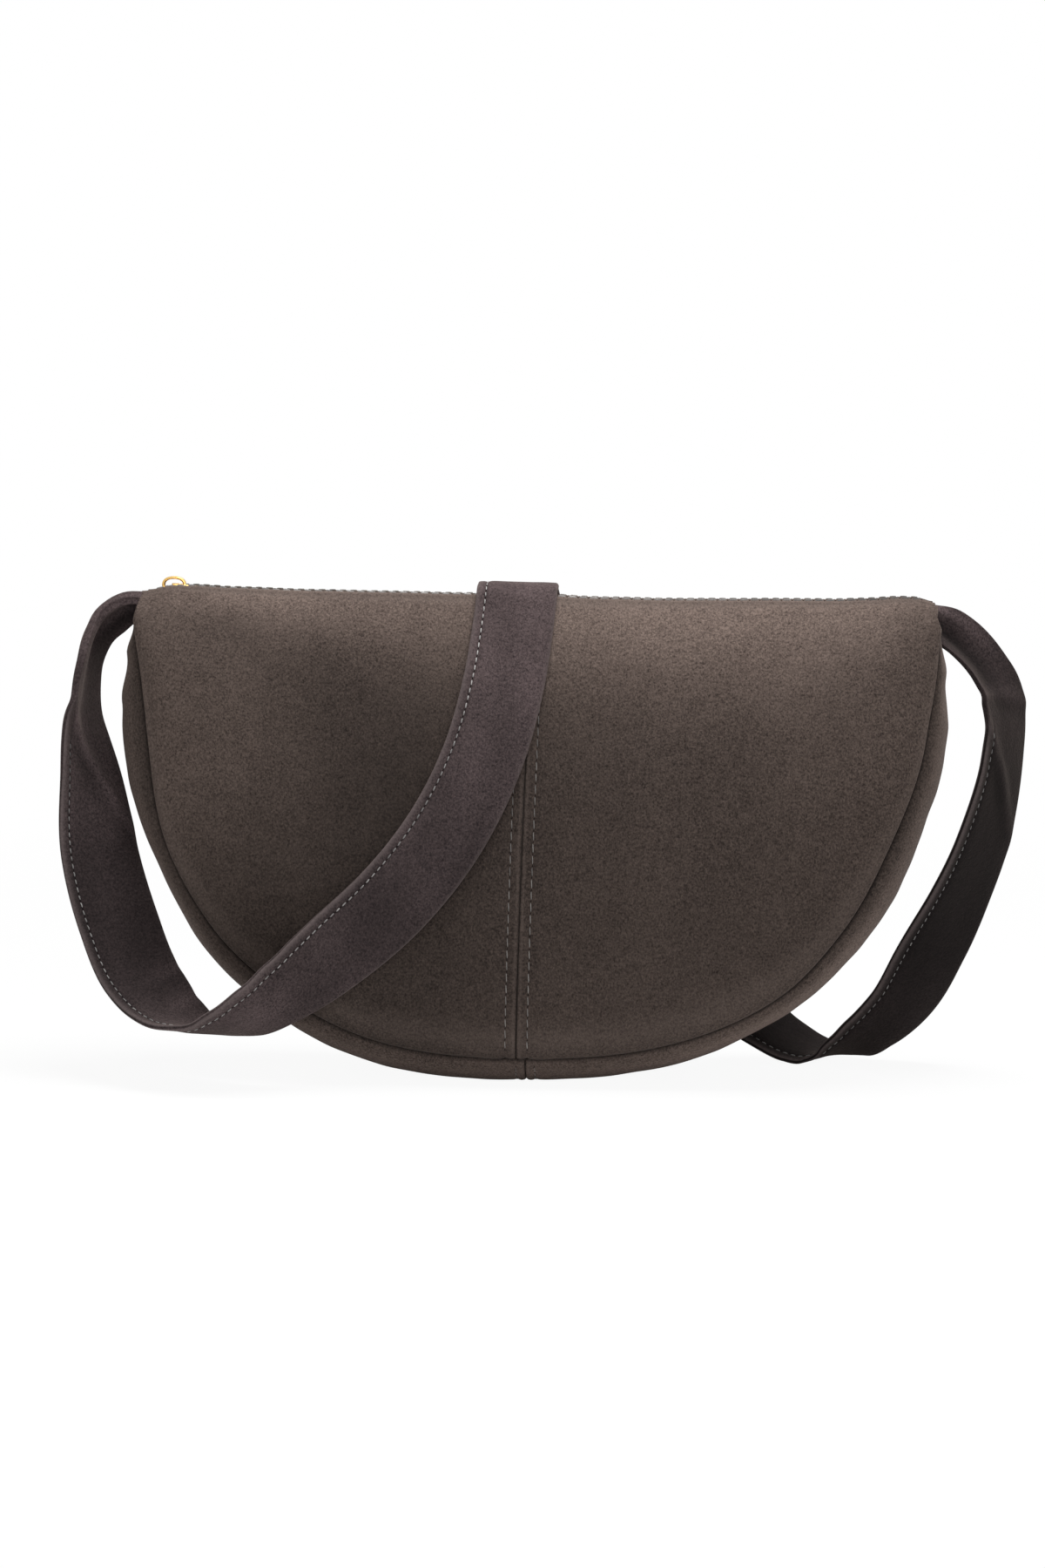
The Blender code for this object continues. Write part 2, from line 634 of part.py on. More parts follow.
def smooth_route(points, step):
    """A smooth curve through the given points, cut into pieces of about one step. Keeps each point."""
    points = np.array(points, float)
    gaps = np.linalg.norm(np.diff(points[:, :3], axis=0), axis=1)
    along = np.concatenate([[0], np.cumsum(gaps)])
    slopes = np.gradient(points, along, axis=0)
    rows = []
    for index, gap in enumerate(gaps):
        first, last = points[index], points[index + 1]
        first_slope, last_slope = slopes[index] * gap, slopes[index + 1] * gap
        bend = 3 * (last - first) - 2 * first_slope - last_slope
        rest = 2 * (first - last) + first_slope + last_slope
        count = max(int(round(gap / step)), 1)
        for share in np.arange(count) / count:
            rows.append(first + first_slope * share + bend * share**2 + rest * share**3)
    rows.append(points[-1])
    return np.array(rows)


def strap_stations():
    """Centre, direction across, half span and crown at each step of the strap, in metres."""
    rows = []
    for centre, across, spread, crown in STRAP_ROUTE:
        across = Vector(across).normalized()
        x, y, z = (c / 1000 for c in centre)
        z += (TOP_HEIGHT - ROUTE_TOP) * smooth_step(z, 0.0, ROUTE_TOP - CORNER_DROP)
        rows.append((x, y, z, *across, spread, crown / 1000))
    rows = smooth_route(rows, STRAP_STEP)
    gaps = np.linalg.norm(np.diff(rows[:, :3], axis=0), axis=1)
    along = np.gradient(rows[:, :3], np.concatenate([[0], np.cumsum(gaps)]), axis=0)
    stations = []
    for row, tangent in zip(rows, along):
        tangent = Vector(tangent).normalized()
        across = Vector(row[3:6])
        across = (across - tangent * across.dot(tangent)).normalized()
        outer = across.cross(tangent)
        stations.append((Vector(row[:3]), across, outer, row[6] * STRAP_WIDTH / 2, row[7]))
    return stations


def make_strap(collection, material):
    """A folded strip lofted along its route: a flat section, rounded at the edges, that cups."""
    section = []
    for share in (-1, -0.5, 0, 0.5, 1):
        section.append((share, 1))
    section += [(x, -side) for x, side in reversed(section)]
    stations = strap_stations()
    shape = bmesh.new()
    rings = []
    for centre, across, outer, half, crown in stations:
        ring = []
        for share, side in section:
            thickness = STRAP_THICKNESS if abs(share) < 1 else STRAP_EDGE_THICKNESS
            rise = crown * (1 - share * share) + side * thickness / 2
            ring.append(shape.verts.new(centre + across * (share * half) + outer * rise))
        rings.append(ring)
    for ring, after in zip(rings, rings[1:]):
        for index in range(len(ring)):
            next_index = (index + 1) % len(ring)
            shape.faces.new((ring[index], ring[next_index], after[next_index], after[index]))
    shape.faces.new(rings[0])
    shape.faces.new(rings[-1])
    bmesh.ops.recalc_face_normals(shape, faces=shape.faces[:])
    mesh = bpy.data.meshes.new("strap")
    shape.to_mesh(mesh)
    shape.free()
    mesh.shade_smooth()
    return add_object("strap", mesh, collection, material)


def make_bag():
    clear_scene()
    parts = new_collection("half_moon_shoulder_bag")
    helpers = new_collection("joined_shapes")
    body_suede = make_material("body_suede", BODY_SUEDE, 0.95)
    strap_suede = make_material("strap_suede", STRAP_SUEDE, 0.95)
    lining_cloth = make_material("lining_cloth", LINING_CLOTH, 0.9)
    tape_cloth = make_material("tape_cloth", TAPE_CLOTH, 0.9)
    gold = make_material("gold_metal", GOLD, 0.25, 1.0)

    seam_share = GAP / 2 / SEAM.half_length
    for face, back in (("front", False), ("back", True)):
        make_panel(f"{face}_panel_left", -1, -seam_share, back, parts, body_suede)
        make_panel(f"{face}_panel_right", seam_share, 1, back, parts, body_suede)
        make_lining_panel(f"lining_{face}", back, parts, lining_cloth)
    base_share = (GUSSET_SEAM_X + LEAN * TOP_HEIGHT) / SEAM.half_length
    make_gusset("gusset_left", -1, base_share - seam_share, parts, body_suede)
    make_gusset("gusset_right", base_share + seam_share, 1, parts, body_suede)
    make_lining_gusset(parts, lining_cloth)
    make_pocket(parts, lining_cloth)
    for face, side in (("front", -1), ("back", 1)):
        make_tape(f"zipper_tape_{face}", side, parts, tape_cloth)
        make_teeth(f"zipper_teeth_{face}", side, parts, gold)
    make_stops(parts, gold)
    make_slider(parts, helpers, gold)
    make_pull_tab(parts, gold)
    make_strap(parts, strap_suede)


make_bag()
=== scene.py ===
# %% [markdown]
# # A half-moon suede shoulder bag
#
# This lesson dresses a finished CAD model of a soft bag. The CAD gives the sizes, the pieces and
# the joints. Here each piece gets the shape that leather and cloth really take, its stitches, and
# a finish. All lengths are in metres, Z is up, and the front of the bag looks along -Y.

# %% Load the CAD frame
import json
import math

import bpy
import numpy as np
from mathutils import Matrix, Vector

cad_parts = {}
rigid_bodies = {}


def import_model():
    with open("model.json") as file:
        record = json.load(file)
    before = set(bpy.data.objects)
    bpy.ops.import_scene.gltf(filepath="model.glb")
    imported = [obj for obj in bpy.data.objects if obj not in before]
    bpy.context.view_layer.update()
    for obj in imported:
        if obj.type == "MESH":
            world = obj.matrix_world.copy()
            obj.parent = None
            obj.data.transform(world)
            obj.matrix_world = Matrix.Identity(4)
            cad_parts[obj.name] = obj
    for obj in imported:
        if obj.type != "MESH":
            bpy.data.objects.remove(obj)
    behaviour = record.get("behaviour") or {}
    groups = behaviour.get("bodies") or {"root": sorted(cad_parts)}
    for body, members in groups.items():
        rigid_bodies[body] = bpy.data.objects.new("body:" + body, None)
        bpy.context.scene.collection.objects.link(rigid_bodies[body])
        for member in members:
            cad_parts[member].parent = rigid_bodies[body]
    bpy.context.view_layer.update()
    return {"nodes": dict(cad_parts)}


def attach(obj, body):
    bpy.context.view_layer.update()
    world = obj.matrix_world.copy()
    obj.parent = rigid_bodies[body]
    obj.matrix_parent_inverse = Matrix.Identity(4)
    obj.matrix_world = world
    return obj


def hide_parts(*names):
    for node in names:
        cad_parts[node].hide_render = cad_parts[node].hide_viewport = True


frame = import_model()

# %% [markdown]
# ## The camera
#
# The photograph was taken with a long lens from a little above the bag and a little to its right.
# A long lens far away keeps upright lines upright. The lens is worked out from the size that one
# pixel of the picture has at the bag, so that the model fills the picture as the real bag does.

# %% The camera at the photograph's place
METRES_PER_PIXEL = 0.00037
PICTURE_HEIGHT = 1800
CAMERA_DISTANCE = 1.6
SENSOR_HEIGHT = 36
CAMERA_TURN, CAMERA_RISE, CAMERA_ROLL = math.radians(3), math.radians(5), math.radians(0.55)
LOOK_AT = Vector((-0.0046, 0, 0.12407))


def add_camera():
    camera = bpy.data.objects.new("camera", bpy.data.cameras.new("camera"))
    bpy.context.scene.collection.objects.link(camera)
    camera.data.sensor_fit = "VERTICAL"
    camera.data.sensor_height = SENSOR_HEIGHT
    camera.data.lens = CAMERA_DISTANCE / METRES_PER_PIXEL / PICTURE_HEIGHT * SENSOR_HEIGHT
    camera.data.clip_start = 0.1
    turns = ((CAMERA_TURN, "Z"), (math.pi / 2 - CAMERA_RISE, "X"), (CAMERA_ROLL, "Z"))
    place = Matrix.Translation(LOOK_AT)
    for angle, axis in turns:
        place = place @ Matrix.Rotation(angle, 4, axis)
    camera.matrix_world = place @ Matrix.Translation((0, 0, CAMERA_DISTANCE))
    bpy.context.scene.camera = camera
    return camera


camera = add_camera()
bpy.context.scene.view_settings.view_transform = "Standard"
print("lens:", round(camera.data.lens, 2), "mm")

# %% [markdown]
# ## Expressions that build shader nodes
#
# A material is a graph of nodes, and long graphs are hard to read as code. The small class below
# wraps one socket, so that sums and products of sockets can be written as plain Python, and each
# operator adds the Math node for it.

# %% A socket that can be reckoned with
class Wire:
    """One value in a material. Sums and products of wires add the Math nodes for them."""

    def __init__(self, finish, socket):
        self.finish, self.socket = finish, socket

    def reckon(self, operation, *values):
        return self.finish.node("ShaderNodeMath", {"operation": operation}, dict(enumerate(values)))

    def __add__(self, other):
        return self.reckon("ADD", self, other)

    def __sub__(self, other):
        return self.reckon("SUBTRACT", self, other)

    def __rsub__(self, other):
        return self.reckon("SUBTRACT", other, self)

    def __mul__(self, other):
        return self.reckon("MULTIPLY", self, other)

    __radd__, __rmul__ = __add__, __mul__

    def spread(self, low, high):
        """0 at low and below, 1 at high and above, and even between."""
        inputs = {"Value": self, "From Min": low, "From Max": high}
        return self.finish.node("ShaderNodeMapRange", {"clamp": True}, inputs)


class Finish:
    """A material whose nodes are added by the expressions that use them."""

    def __init__(self, name, **constants):
        self.material = bpy.data.materials.new(name)
        self.material.use_nodes = True
        self.tree = self.material.node_tree
        self.shader = self.tree.nodes["Principled BSDF"]
        for socket, value in constants.items():
            self.shader.inputs[socket.replace("_", " ")].default_value = value

    def node(self, kind, settings=None, inputs=None, output=0):
        added = self.tree.nodes.new(kind)
        for setting, value in (settings or {}).items():
            setattr(added, setting, value)
        for socket, value in (inputs or {}).items():
            if isinstance(value, Wire):
                self.tree.links.new(value.socket, added.inputs[socket])
            else:
                added.inputs[socket].default_value = value
        return Wire(self, added.outputs[output])

    def place(self):
        return self.node("ShaderNodeTexCoord", output="Object")

    def stretched(self, place, scale):
        return self.node("ShaderNodeMapping", {}, {"Vector": place, "Scale": scale})

    def noise(self, place, scale, detail, roughness):
        inputs = {"Vector": place, "Scale": scale, "Detail": detail, "Roughness": roughness}
        return self.node("ShaderNodeTexNoise", {}, inputs)

    def attribute(self, name):
        return self.node("ShaderNodeAttribute", {"attribute_name": name}, output="Fac")

    def mixed(self, share, first, second):
        """From the first colour to the second as share goes from 0 to 1."""
        inputs = {0: share, 6: first, 7: second}
        return self.node("ShaderNodeMix", {"data_type": "RGBA"}, inputs, output=2)

    def scaled(self, colour, factor):
        inputs = {0: colour, "Scale": factor}
        return self.node("ShaderNodeVectorMath", {"operation": "SCALE"}, inputs)

    def bump(self, height, distance, strength, under=None):
        inputs = {"Height": height, "Distance": distance, "Strength": strength}
        if under:
            inputs["Normal"] = under
        return self.node("ShaderNodeBump", {}, inputs)

    def feed(self, **links):
        for socket, wire in links.items():
            self.tree.links.new(wire.socket, self.shader.inputs[socket.replace("_", " ")])
        return self.material


def linear(red, green, blue):
    """A colour picked from a picture, 0 to 255, as the scene-linear colour that a shader takes."""
    parts = [value / 255 for value in (red, green, blue)]
    parts = [p / 12.92 if p <= 0.04045 else ((p + 0.055) / 1.055) ** 2.4 for p in parts]
    return (*parts, 1.0)


print("middle of the panel, scene-linear:", [round(c, 4) for c in linear(66, 57, 52)])

# %% [markdown]
# ## Suede
#
# Suede is the brushed inner side of leather: a short soft nap. It has no gloss, its edges catch a
# soft light (sheen), and wherever a hand has stroked it the nap lies another way and looks lighter
# or darker. So the finish has wide soft patches, a smaller mottling and a fine grain of nap, all
# from noise in Object coordinates, and the grain and mottling also raise a bump. The pieces carry
# three attributes of their own. The first is painted light and shade, with some lie of the nap:
# it scales the colour, up to the range constant times the plain colour. The second is for edges
# that are rubbed, and on the gusset it is also painted light. The third is painted shade in the
# seams, the grooves and the folds.

# %% The two suedes
# The painted light and shade scale the suede's colour up to this many times.
LIGHT_RANGE = 2.4
PATCHES, MOTTLES, GRAINS, FLECKS = 17, 150, 950, 1900  # so many of each lie along a metre


def suede(name, dark, light, shade_colour, worn_and_lit_colour):
    finish = Finish(
        name, Roughness=0.95, Specular_IOR_Level=0.12,
        Sheen_Weight=0.16, Sheen_Roughness=0.45, Sheen_Tint=linear(190, 172, 162),
    )
    place = finish.place()
    patches = finish.noise(finish.stretched(place, (1, 0.6, 0.7)), PATCHES, 2, 0.5)
    mottling = finish.noise(place, MOTTLES, 3, 0.6)
    grain = finish.noise(place, GRAINS, 2, 0.65)
    flecks = finish.noise(finish.stretched(place, (1.0, 1.0, 0.6)), FLECKS, 1, 0.5)
    # Each noise is one half on average, and the last number brings their sum back to one half.
    tone = 0.18 * patches.spread(0.33, 0.67) + 0.35 * mottling + 1.6 * grain + 1.1 * flecks - 1.115
    nap_and_light = finish.mixed(tone.spread(0, 1), dark, light)
    # Painted light and shade: the attribute scales the colour.
    nap_and_light = finish.scaled(nap_and_light, finish.attribute("nap_and_light") * LIGHT_RANGE)
    # Rubbed edges take the worn colour; on the gusset this also paints light.
    nap_and_light = finish.mixed(finish.attribute("wear_and_light") * (0.35 + 0.4 * grain), nap_and_light, worn_and_lit_colour)
    # Painted shade in the seams, grooves and folds.
    nap_and_light = finish.mixed(finish.attribute("crease_shade") * 0.85, nap_and_light, shade_colour)
    coarse = finish.bump(mottling, 0.0009, 0.35)
    fine = finish.bump(grain + 0.6 * flecks, 0.00035, 0.55, under=coarse)
    return finish.feed(Base_Color=nap_and_light, Normal=fine)


body_suede = suede(
    "body_suede", linear(40, 33, 30), linear(92, 80, 74), linear(15, 12, 11), linear(104, 92, 86)
)
strap_suede = suede(
    "strap_suede", linear(34, 28, 29), linear(78, 67, 67), linear(12, 10, 10), linear(100, 90, 89)
)
print("finishes:", body_suede.name, strap_suede.name)

# %% [markdown]
# ## Thread, cloth and metal
#
# The thread is light grey cotton with a matt nap. The zip's tape and the lining are woven, so
# their threads come from two crossed waves over the piece's own map in metres. The metal is a
# warm gold plate, bright but not a mirror: very small scratches break up what it reflects.

# %% Thread, tape, lining and gold
def thread_finish(name, dark, light):
    finish = Finish(name, Roughness=0.8, Sheen_Weight=0.2, Specular_IOR_Level=0.25)
    place = finish.place()
    fibres, dirt = finish.noise(place, 5200, 2, 0.6), finish.noise(place, 180, 2, 0.6)
    colour = finish.mixed((0.5 * fibres + 0.9 * dirt - 0.2).spread(0.2, 0.8), dark, light)
    # Painted light and shade along the row scale the thread's colour.
    colour = finish.scaled(colour, finish.attribute("light"))
    return finish.feed(Base_Color=colour, Normal=finish.bump(fibres, 0.00012, 0.6))


# The needle holes' finish is painted shade: the near-black inside of a hole.
def hole_shade_finish():
    finish = Finish("needle_hole_shade", Roughness=1.0, Specular_IOR_Level=0.05)
    shade = finish.noise(finish.place(), 900, 1, 0.5)
    return finish.feed(Base_Color=finish.mixed(shade, linear(10, 8, 8), linear(24, 20, 19)))


def woven(name, dark, light, threads, roughness, raise_by):
    finish = Finish(name, Roughness=roughness, Sheen_Weight=0.15, Specular_IOR_Level=0.2)
    over = finish.node("ShaderNodeUVMap", {"uv_map": "cloth"})
    waves = []
    for direction in ("X", "Y"):
        settings = {"wave_type": "BANDS", "bands_direction": direction, "wave_profile": "SIN"}
        inputs = {"Vector": over, "Scale": threads}
        waves.append(finish.node("ShaderNodeTexWave", settings, inputs, output=1))
    weave = waves[0] * waves[1] + 0.5 * (1 - waves[0]) * (1 - waves[1])
    uneven = finish.noise(finish.place(), 240, 3, 0.6)
    colour = finish.mixed((0.75 * weave + 0.5 * uneven - 0.2).spread(0, 1), dark, light)
    return finish.feed(Base_Color=colour, Normal=finish.bump(weave, raise_by, 0.6))


def gold_finish():
    finish = Finish("gold_metal", Metallic=1.0, Specular_IOR_Level=0.5)
    place = finish.place()
    scratches = finish.noise(finish.stretched(place, (1, 9, 4)), 900, 3, 0.7)
    clouds = finish.noise(place, 120, 2, 0.5)
    colour = finish.mixed(clouds.spread(0.3, 0.7), linear(206, 164, 92), linear(228, 190, 118))
    roughness = 0.16 + 0.14 * scratches + 0.08 * clouds
    normal = finish.bump(scratches, 0.00004, 0.35)
    return finish.feed(Base_Color=colour, Roughness=roughness, Normal=normal)


thread_grey = thread_finish("thread_grey", linear(84, 80, 78), linear(150, 146, 142))
thread_pale = thread_finish("thread_pale", linear(112, 108, 107), linear(196, 193, 190))
needle_hole_shade, gold_metal = hole_shade_finish(), gold_finish()
tape_cloth = woven("tape_cloth", linear(34, 29, 28), linear(62, 54, 52), 210, 0.88, 0.0002)
lining_cloth = woven("lining_cloth", linear(52, 45, 42), linear(86, 77, 73), 320, 0.9, 0.00012)
print("finishes:", thread_grey.name, tape_cloth.name, lining_cloth.name, gold_metal.name)

# %% [markdown]
# ## The shape of the bag
#
# A soft bag has no straight line, but it has few ideas: a half-moon seam line, a panel that swells
# forward from it, a band that bulges outwards from it, and a straight turned top edge. The CAD
# model was made from formulas for these, and this file uses its values, so that every new piece
# sits where its CAD solid is. Only the gusset's bulge, the top corners and the strap are tuned a
# few millimetres closer to the photograph. NumPy works out whole grids of points at once. The
# tables are in millimetres, and give the place first.

# %% The values of the body
TOP_HEIGHT, TOP_HALF_WIDTH = 0.205, 0.1660
SEAM_HALF_WIDTH, SEAM_DROP, SEAM_ROUNDNESS = 0.1656, 0.193, 2.50
SEAM_FLARE, FLARE_START, CORNER_DROP = 0.004, 0.150, 0.0125
BASE_HALF_DEPTH, CORNER_HALF_DEPTH = 0.036, 0.013
BELLY, CORNER_BELLY, BELLY_PEAK = 0.0140, 0.0020, 0.385
GUSSET_SEAM_X, LEAN = -0.0008, 0.022
SUEDE, LINING, GAP = 0.0014, 0.0007, 0.0003
HEM_HALF_DEPTH, CORNER_HEM_HALF_DEPTH, FOLD_RADIUS = 0.0058, 0.0070, 0.0016
CHAIN_HEIGHT, CHAIN_HALF_WIDTH = 0.2009, 0.0031
TAPE_THICKNESS, TAPE_OUTER, TAPE_HALF_LENGTH = 0.0006, 0.0069, 0.1615
CENTRE_ROW, GUSSET_ROW, STRAP_ROW, POCKET_ROW = 0.0046, 0.0039, 0.0040, 0.0025
SEAM_PITCH, HEM_PITCH, STRAP_PITCH, POCKET_PITCH = 0.0049, 0.0045, 0.0034, 0.0026
FACES, HALVES = (("front", -1), ("back", 1)), (("left", -1), ("right", 1))
TOP_LINE = (
    (-166, -0.4), (-152, 2.0), (-145, 1.9), (-128, 1.1), (-95, 0.3), (-60, 0.0), (-30, -0.4),
    (0, -0.7), (30, -1.5), (55, -1.8), (80, -1.6), (105, -1.3), (125, -1.3), (140, -0.8),
    (153, 0.1), (166, -0.1),
)
SWAY = ((0, 1.0), (28, 1.1), (65, -1.5), (95, -1.8), (146, 1.6), (168, 1.9), (190, 1.0), (206, 0))
# The gusset's places are shares of half the seam line, from the left corner, -1, to the right, 1.
GUSSET_BULGE = (
    (-1.0, 0.4), (-0.95, 7.6), (-0.88, 13.2), (-0.82, 15.0), (-0.63, 11.2), (-0.44, 14.6),
    (-0.1, 14.0), (0.2, 13.0), (0.38, 10.8), (0.62, 13.9), (0.76, 12.4), (0.85, 10.4),
    (0.93, 5.4), (1.0, 0.4),
)


def read_table(table, value):
    """A smooth curve through a table's points, in the table's own units."""
    places, values = np.array(table, float).T
    at = np.clip(np.searchsorted(places, value, side="right") - 1, 0, len(places) - 2)
    share = np.clip((value - places[at]) / (places[at + 1] - places[at]), 0, 1)
    return values[at] + (values[at + 1] - values[at]) * share * share * (3 - 2 * share)


def sway(x, z):
    side = np.minimum(np.abs(x) / 0.11, 1.0) ** 2
    return x + side * read_table(SWAY, z * 1000) / 1000 - (1 - side) * LEAN * (TOP_HEIGHT - z)


def seam_line(samples=2881):
    """Where panels and gusset meet: shares of half the line's length, x, z, and that length."""
    last = math.acos((CORNER_DROP / SEAM_DROP) ** (SEAM_ROUNDNESS / 2))
    turn = np.linspace(-last, last, samples)
    power = 2 / SEAM_ROUNDNESS
    x = SEAM_HALF_WIDTH * np.sign(np.sin(turn)) * np.abs(np.sin(turn)) ** power
    z = TOP_HEIGHT - SEAM_DROP * np.cos(turn) ** power
    flare = np.clip((z - FLARE_START) / (TOP_HEIGHT - CORNER_DROP - FLARE_START), 0, 1) ** 1.5
    x += np.sign(turn) * SEAM_FLARE * flare
    along = np.concatenate([[0], np.cumsum(np.hypot(np.diff(x), np.diff(z)))])
    return along / (along[-1] / 2) - 1, x, z, along[-1] / 2


SEAM_SHARE, SEAM_X, SEAM_Z, SEAM_HALF_LENGTH = seam_line()


def seam_point(share):
    return np.interp(share, SEAM_SHARE, SEAM_X), np.interp(share, SEAM_SHARE, SEAM_Z)


def seam_outward(share):
    x0, z0 = seam_point(np.maximum(share - 0.004, -1))
    x1, z1 = seam_point(np.minimum(share + 0.004, 1))
    length = np.hypot(x1 - x0, z1 - z0)
    return (z1 - z0) / length, -(x1 - x0) / length


print("half of the seam line:", round(SEAM_HALF_LENGTH * 1000, 1), "mm")

# %% [markdown]
# ## Front and back panels
#
# Each face is two half-moon quarters with an open seam down the middle. The leather swells quickly
# from the outer seam, because the filling presses it, and flattens towards the top edge, where it
# is turned over. The plain formula is then given what a needle and a hand do to leather: a groove
# at the centre seam, a shallow valley under each row of stitches, a soft roll over the outer seam,
# and slow dents across the face. Each point moves along the surface's own normal.

# %% Points of a panel
# Height, distance from the seam and half width of each hill and valley in the leather beside it:
# the groove, the valley under the stitches, the lip and the slow swell.
CENTRE_RELIEF = (
    (-0.0009, 0, 0.00028), (-0.0003, CENTRE_ROW, 0.0009), (0.0001, 0.0022, 0.0012),
    (0.0004, 0.0105, 0.0050),
)
# Strength of each wave, then what X, Z and 1 count for in its two sines, per metre.
DENT_WAVES = (
    (1.0, (41, 23, 0.6), (-9, 37, 1.1)),
    (0.6, (83, -52, 2.0), (33, 71, 0.4)),
    (0.25, (190, 120, 1.0), (-60, 160, 2.6)),
)
DENT_DEPTH, SEAM_ROLL, CORNER_FULLNESS, CORNER_ROUNDING = 0.0007, 0.0013, 0.0024, 0.0020


def seam_half_depth(height):
    fall = 1 - (height / TOP_HEIGHT) ** 3
    return CORNER_HALF_DEPTH + (BASE_HALF_DEPTH - CORNER_HALF_DEPTH) * fall


def hem_half_depth(share):
    return HEM_HALF_DEPTH + (CORNER_HEM_HALF_DEPTH - HEM_HALF_DEPTH) * np.abs(share) ** 6


def fold_height(share):
    return TOP_HEIGHT + read_table(TOP_LINE, share * TOP_HALF_WIDTH * 1000) / 1000


def belly_profile(rise):
    peak = BELLY_PEAK**0.5 * (1 - BELLY_PEAK) ** 0.8
    return rise**0.5 * (1 - rise) ** 0.8 / peak


def panel_point(share, rise):
    """Points of the front's outer face: share runs along the seam, rise from it to the fold."""
    seam_x, seam_z = seam_point(share)
    top_x, top_z = share * TOP_HALF_WIDTH, fold_height(share) - FOLD_RADIUS
    x = (1 - rise) * seam_x + rise * top_x
    z = (1 - rise) * seam_z + rise * top_z
    seam_depth = seam_half_depth(seam_z)
    belly = CORNER_BELLY + (BELLY - CORNER_BELLY) * (1 - np.abs(share) ** 2.5)
    depth = seam_depth + (hem_half_depth(share) + 2 * FOLD_RADIUS - seam_depth) * rise**2.2
    depth = depth + belly * belly_profile(rise)
    return np.stack([sway(x, z), -depth, z], axis=-1)


def hem_point(share, turn):
    """The turned edge: a half round over the fold (turn 0 to 1), then straight down (to 2)."""
    top = panel_point(share, np.ones_like(share))
    angle = np.minimum(turn, 1.0) * math.pi
    y = top[..., 1] + FOLD_RADIUS * (1 - np.cos(angle))
    z = top[..., 2] + FOLD_RADIUS * np.sin(angle)
    hem_end = CHAIN_HEIGHT + TAPE_THICKNESS / 2 + GAP
    z = z + (hem_end - z) * np.maximum(turn - 1.0, 0.0)
    return np.stack([top[..., 0], y, z], axis=-1)


def from_centre_seam(share, rise):
    """How far a point of the panel is from the centre seam, in metres."""
    return np.abs(share) * ((1 - rise) * SEAM_HALF_LENGTH + rise * TOP_HALF_WIDTH)


def hill(distance, middle, half_width):
    return np.exp(-(((distance - middle) / half_width) ** 2))


def seam_relief(distance, hills):
    return sum(height * hill(distance, middle, reach) for height, middle, reach in hills)


def dents(x, z, back):
    """Slow hollows of a filled soft bag: a few long waves with fixed phases."""
    x = -x + 0.05 if back else x
    return sum(
        strength * np.sin(x * a + z * b + c) * np.sin(x * d + z * e + f)
        for strength, (a, b, c), (d, e, f) in DENT_WAVES
    )


# Painted light and shade by x in mm: level across, light under the top edge, its reach down.
PLAIN_LIGHT = 0.66
LIGHT_ACROSS = (
    (-166, 1.10), (-150, 1.08), (-130, 0.90), (-104, 0.74), (-79, 0.62), (-52, 0.55), (0, 0.64),
    (32, 0.68), (58, 0.76), (88, 0.74), (117, 0.84), (143, 0.95), (166, 0.95),
)
TOP_LIGHT = (
    (-166, 0.2), (-150, 0.4), (-130, 0.8), (-104, 1.1), (-52, 1.15), (32, 1.25), (88, 1.28),
    (117, 0.95), (143, 0.75), (166, 0.40),
)
TOP_LIGHT_REACH = (
    (-166, 6), (-130, 7), (-104, 14), (-52, 25), (32, 32), (100, 35), (143, 21), (166, 9),
)


def painted_light_of_panel(point):
    """Painted light and shade: light under the top edge and at the sides, dark low on the left."""
    x, drop = point[..., 0] * 1000, (TOP_HEIGHT - point[..., 2]) * 1000
    side = read_table(LIGHT_ACROSS, x) - PLAIN_LIGHT
    nap_and_light = PLAIN_LIGHT + side * np.where(side > 0, np.clip((135 - drop) / 60, 0, 1), 1.0)
    # Painted shade: two darker patches low on the left.
    dark = 0.16 * hill(x, -58, 34) * hill(drop, 92, 38)
    dark += 0.14 * hill(x, -110, 28) * hill(drop, 122, 32)
    # Painted light: a band under the top edge, which faces the lamp above.
    top = read_table(TOP_LIGHT, x) * hill(drop, 2, read_table(TOP_LIGHT_REACH, x))
    return (nap_and_light - dark + top) / LIGHT_RANGE


def panel_relief(share, rise, back):
    """How far the leather stands out of the plain formula, along its normal."""
    point = panel_point(share, rise)
    centre = from_centre_seam(share, rise)
    height = fold_height(share) - seam_point(share)[1]
    edge, top = rise * height, (1 - rise) * height
    quiet = np.clip(edge / 0.02, 0, 1) * np.clip(top / 0.02, 0, 1) * np.clip(centre / 0.03, 0.25, 1)
    waves = DENT_DEPTH * (dents(point[..., 0], point[..., 2], back) - 0.6) * quiet
    return seam_relief(centre, CENTRE_RELIEF) + waves


def unit(vectors):
    return vectors / np.maximum(np.linalg.norm(vectors, axis=-1, keepdims=True), 1e-12)


def panel_surface(share, rise, back):
    """Points of the finished outer face and the directions in which it looks."""
    low, high = np.maximum(rise - 0.0008, 0), np.minimum(rise + 0.0008, 1)
    along = panel_point(share + 0.001, rise) - panel_point(share - 0.001, rise)
    up = panel_point(share, high) - panel_point(share, low)
    out = unit(np.cross(along, up))
    points = panel_point(share, rise) + out * panel_relief(share, rise, back)[..., None]
    out_x, out_z = seam_outward(share)
    roll = SEAM_ROLL * hill(rise, 0.035, 0.035) * np.clip(rise / 0.01, 0, 1)
    roll *= 1 - np.abs(share) ** 8
    points += np.stack([out_x * roll, np.zeros_like(roll), out_z * roll], axis=-1)
    points[..., 0] += CORNER_FULLNESS * hill(share, 1.0, 0.05) * hill(rise, 0.93, 0.30)
    points[..., 2] -= CORNER_ROUNDING * hill(share, 1.0, 0.022) * hill(rise, 1.0, 0.06)
    return mirrored(points, back), mirrored(out, back)


def mirrored(points, back):
    return points * (1, -1, 1) if back else points


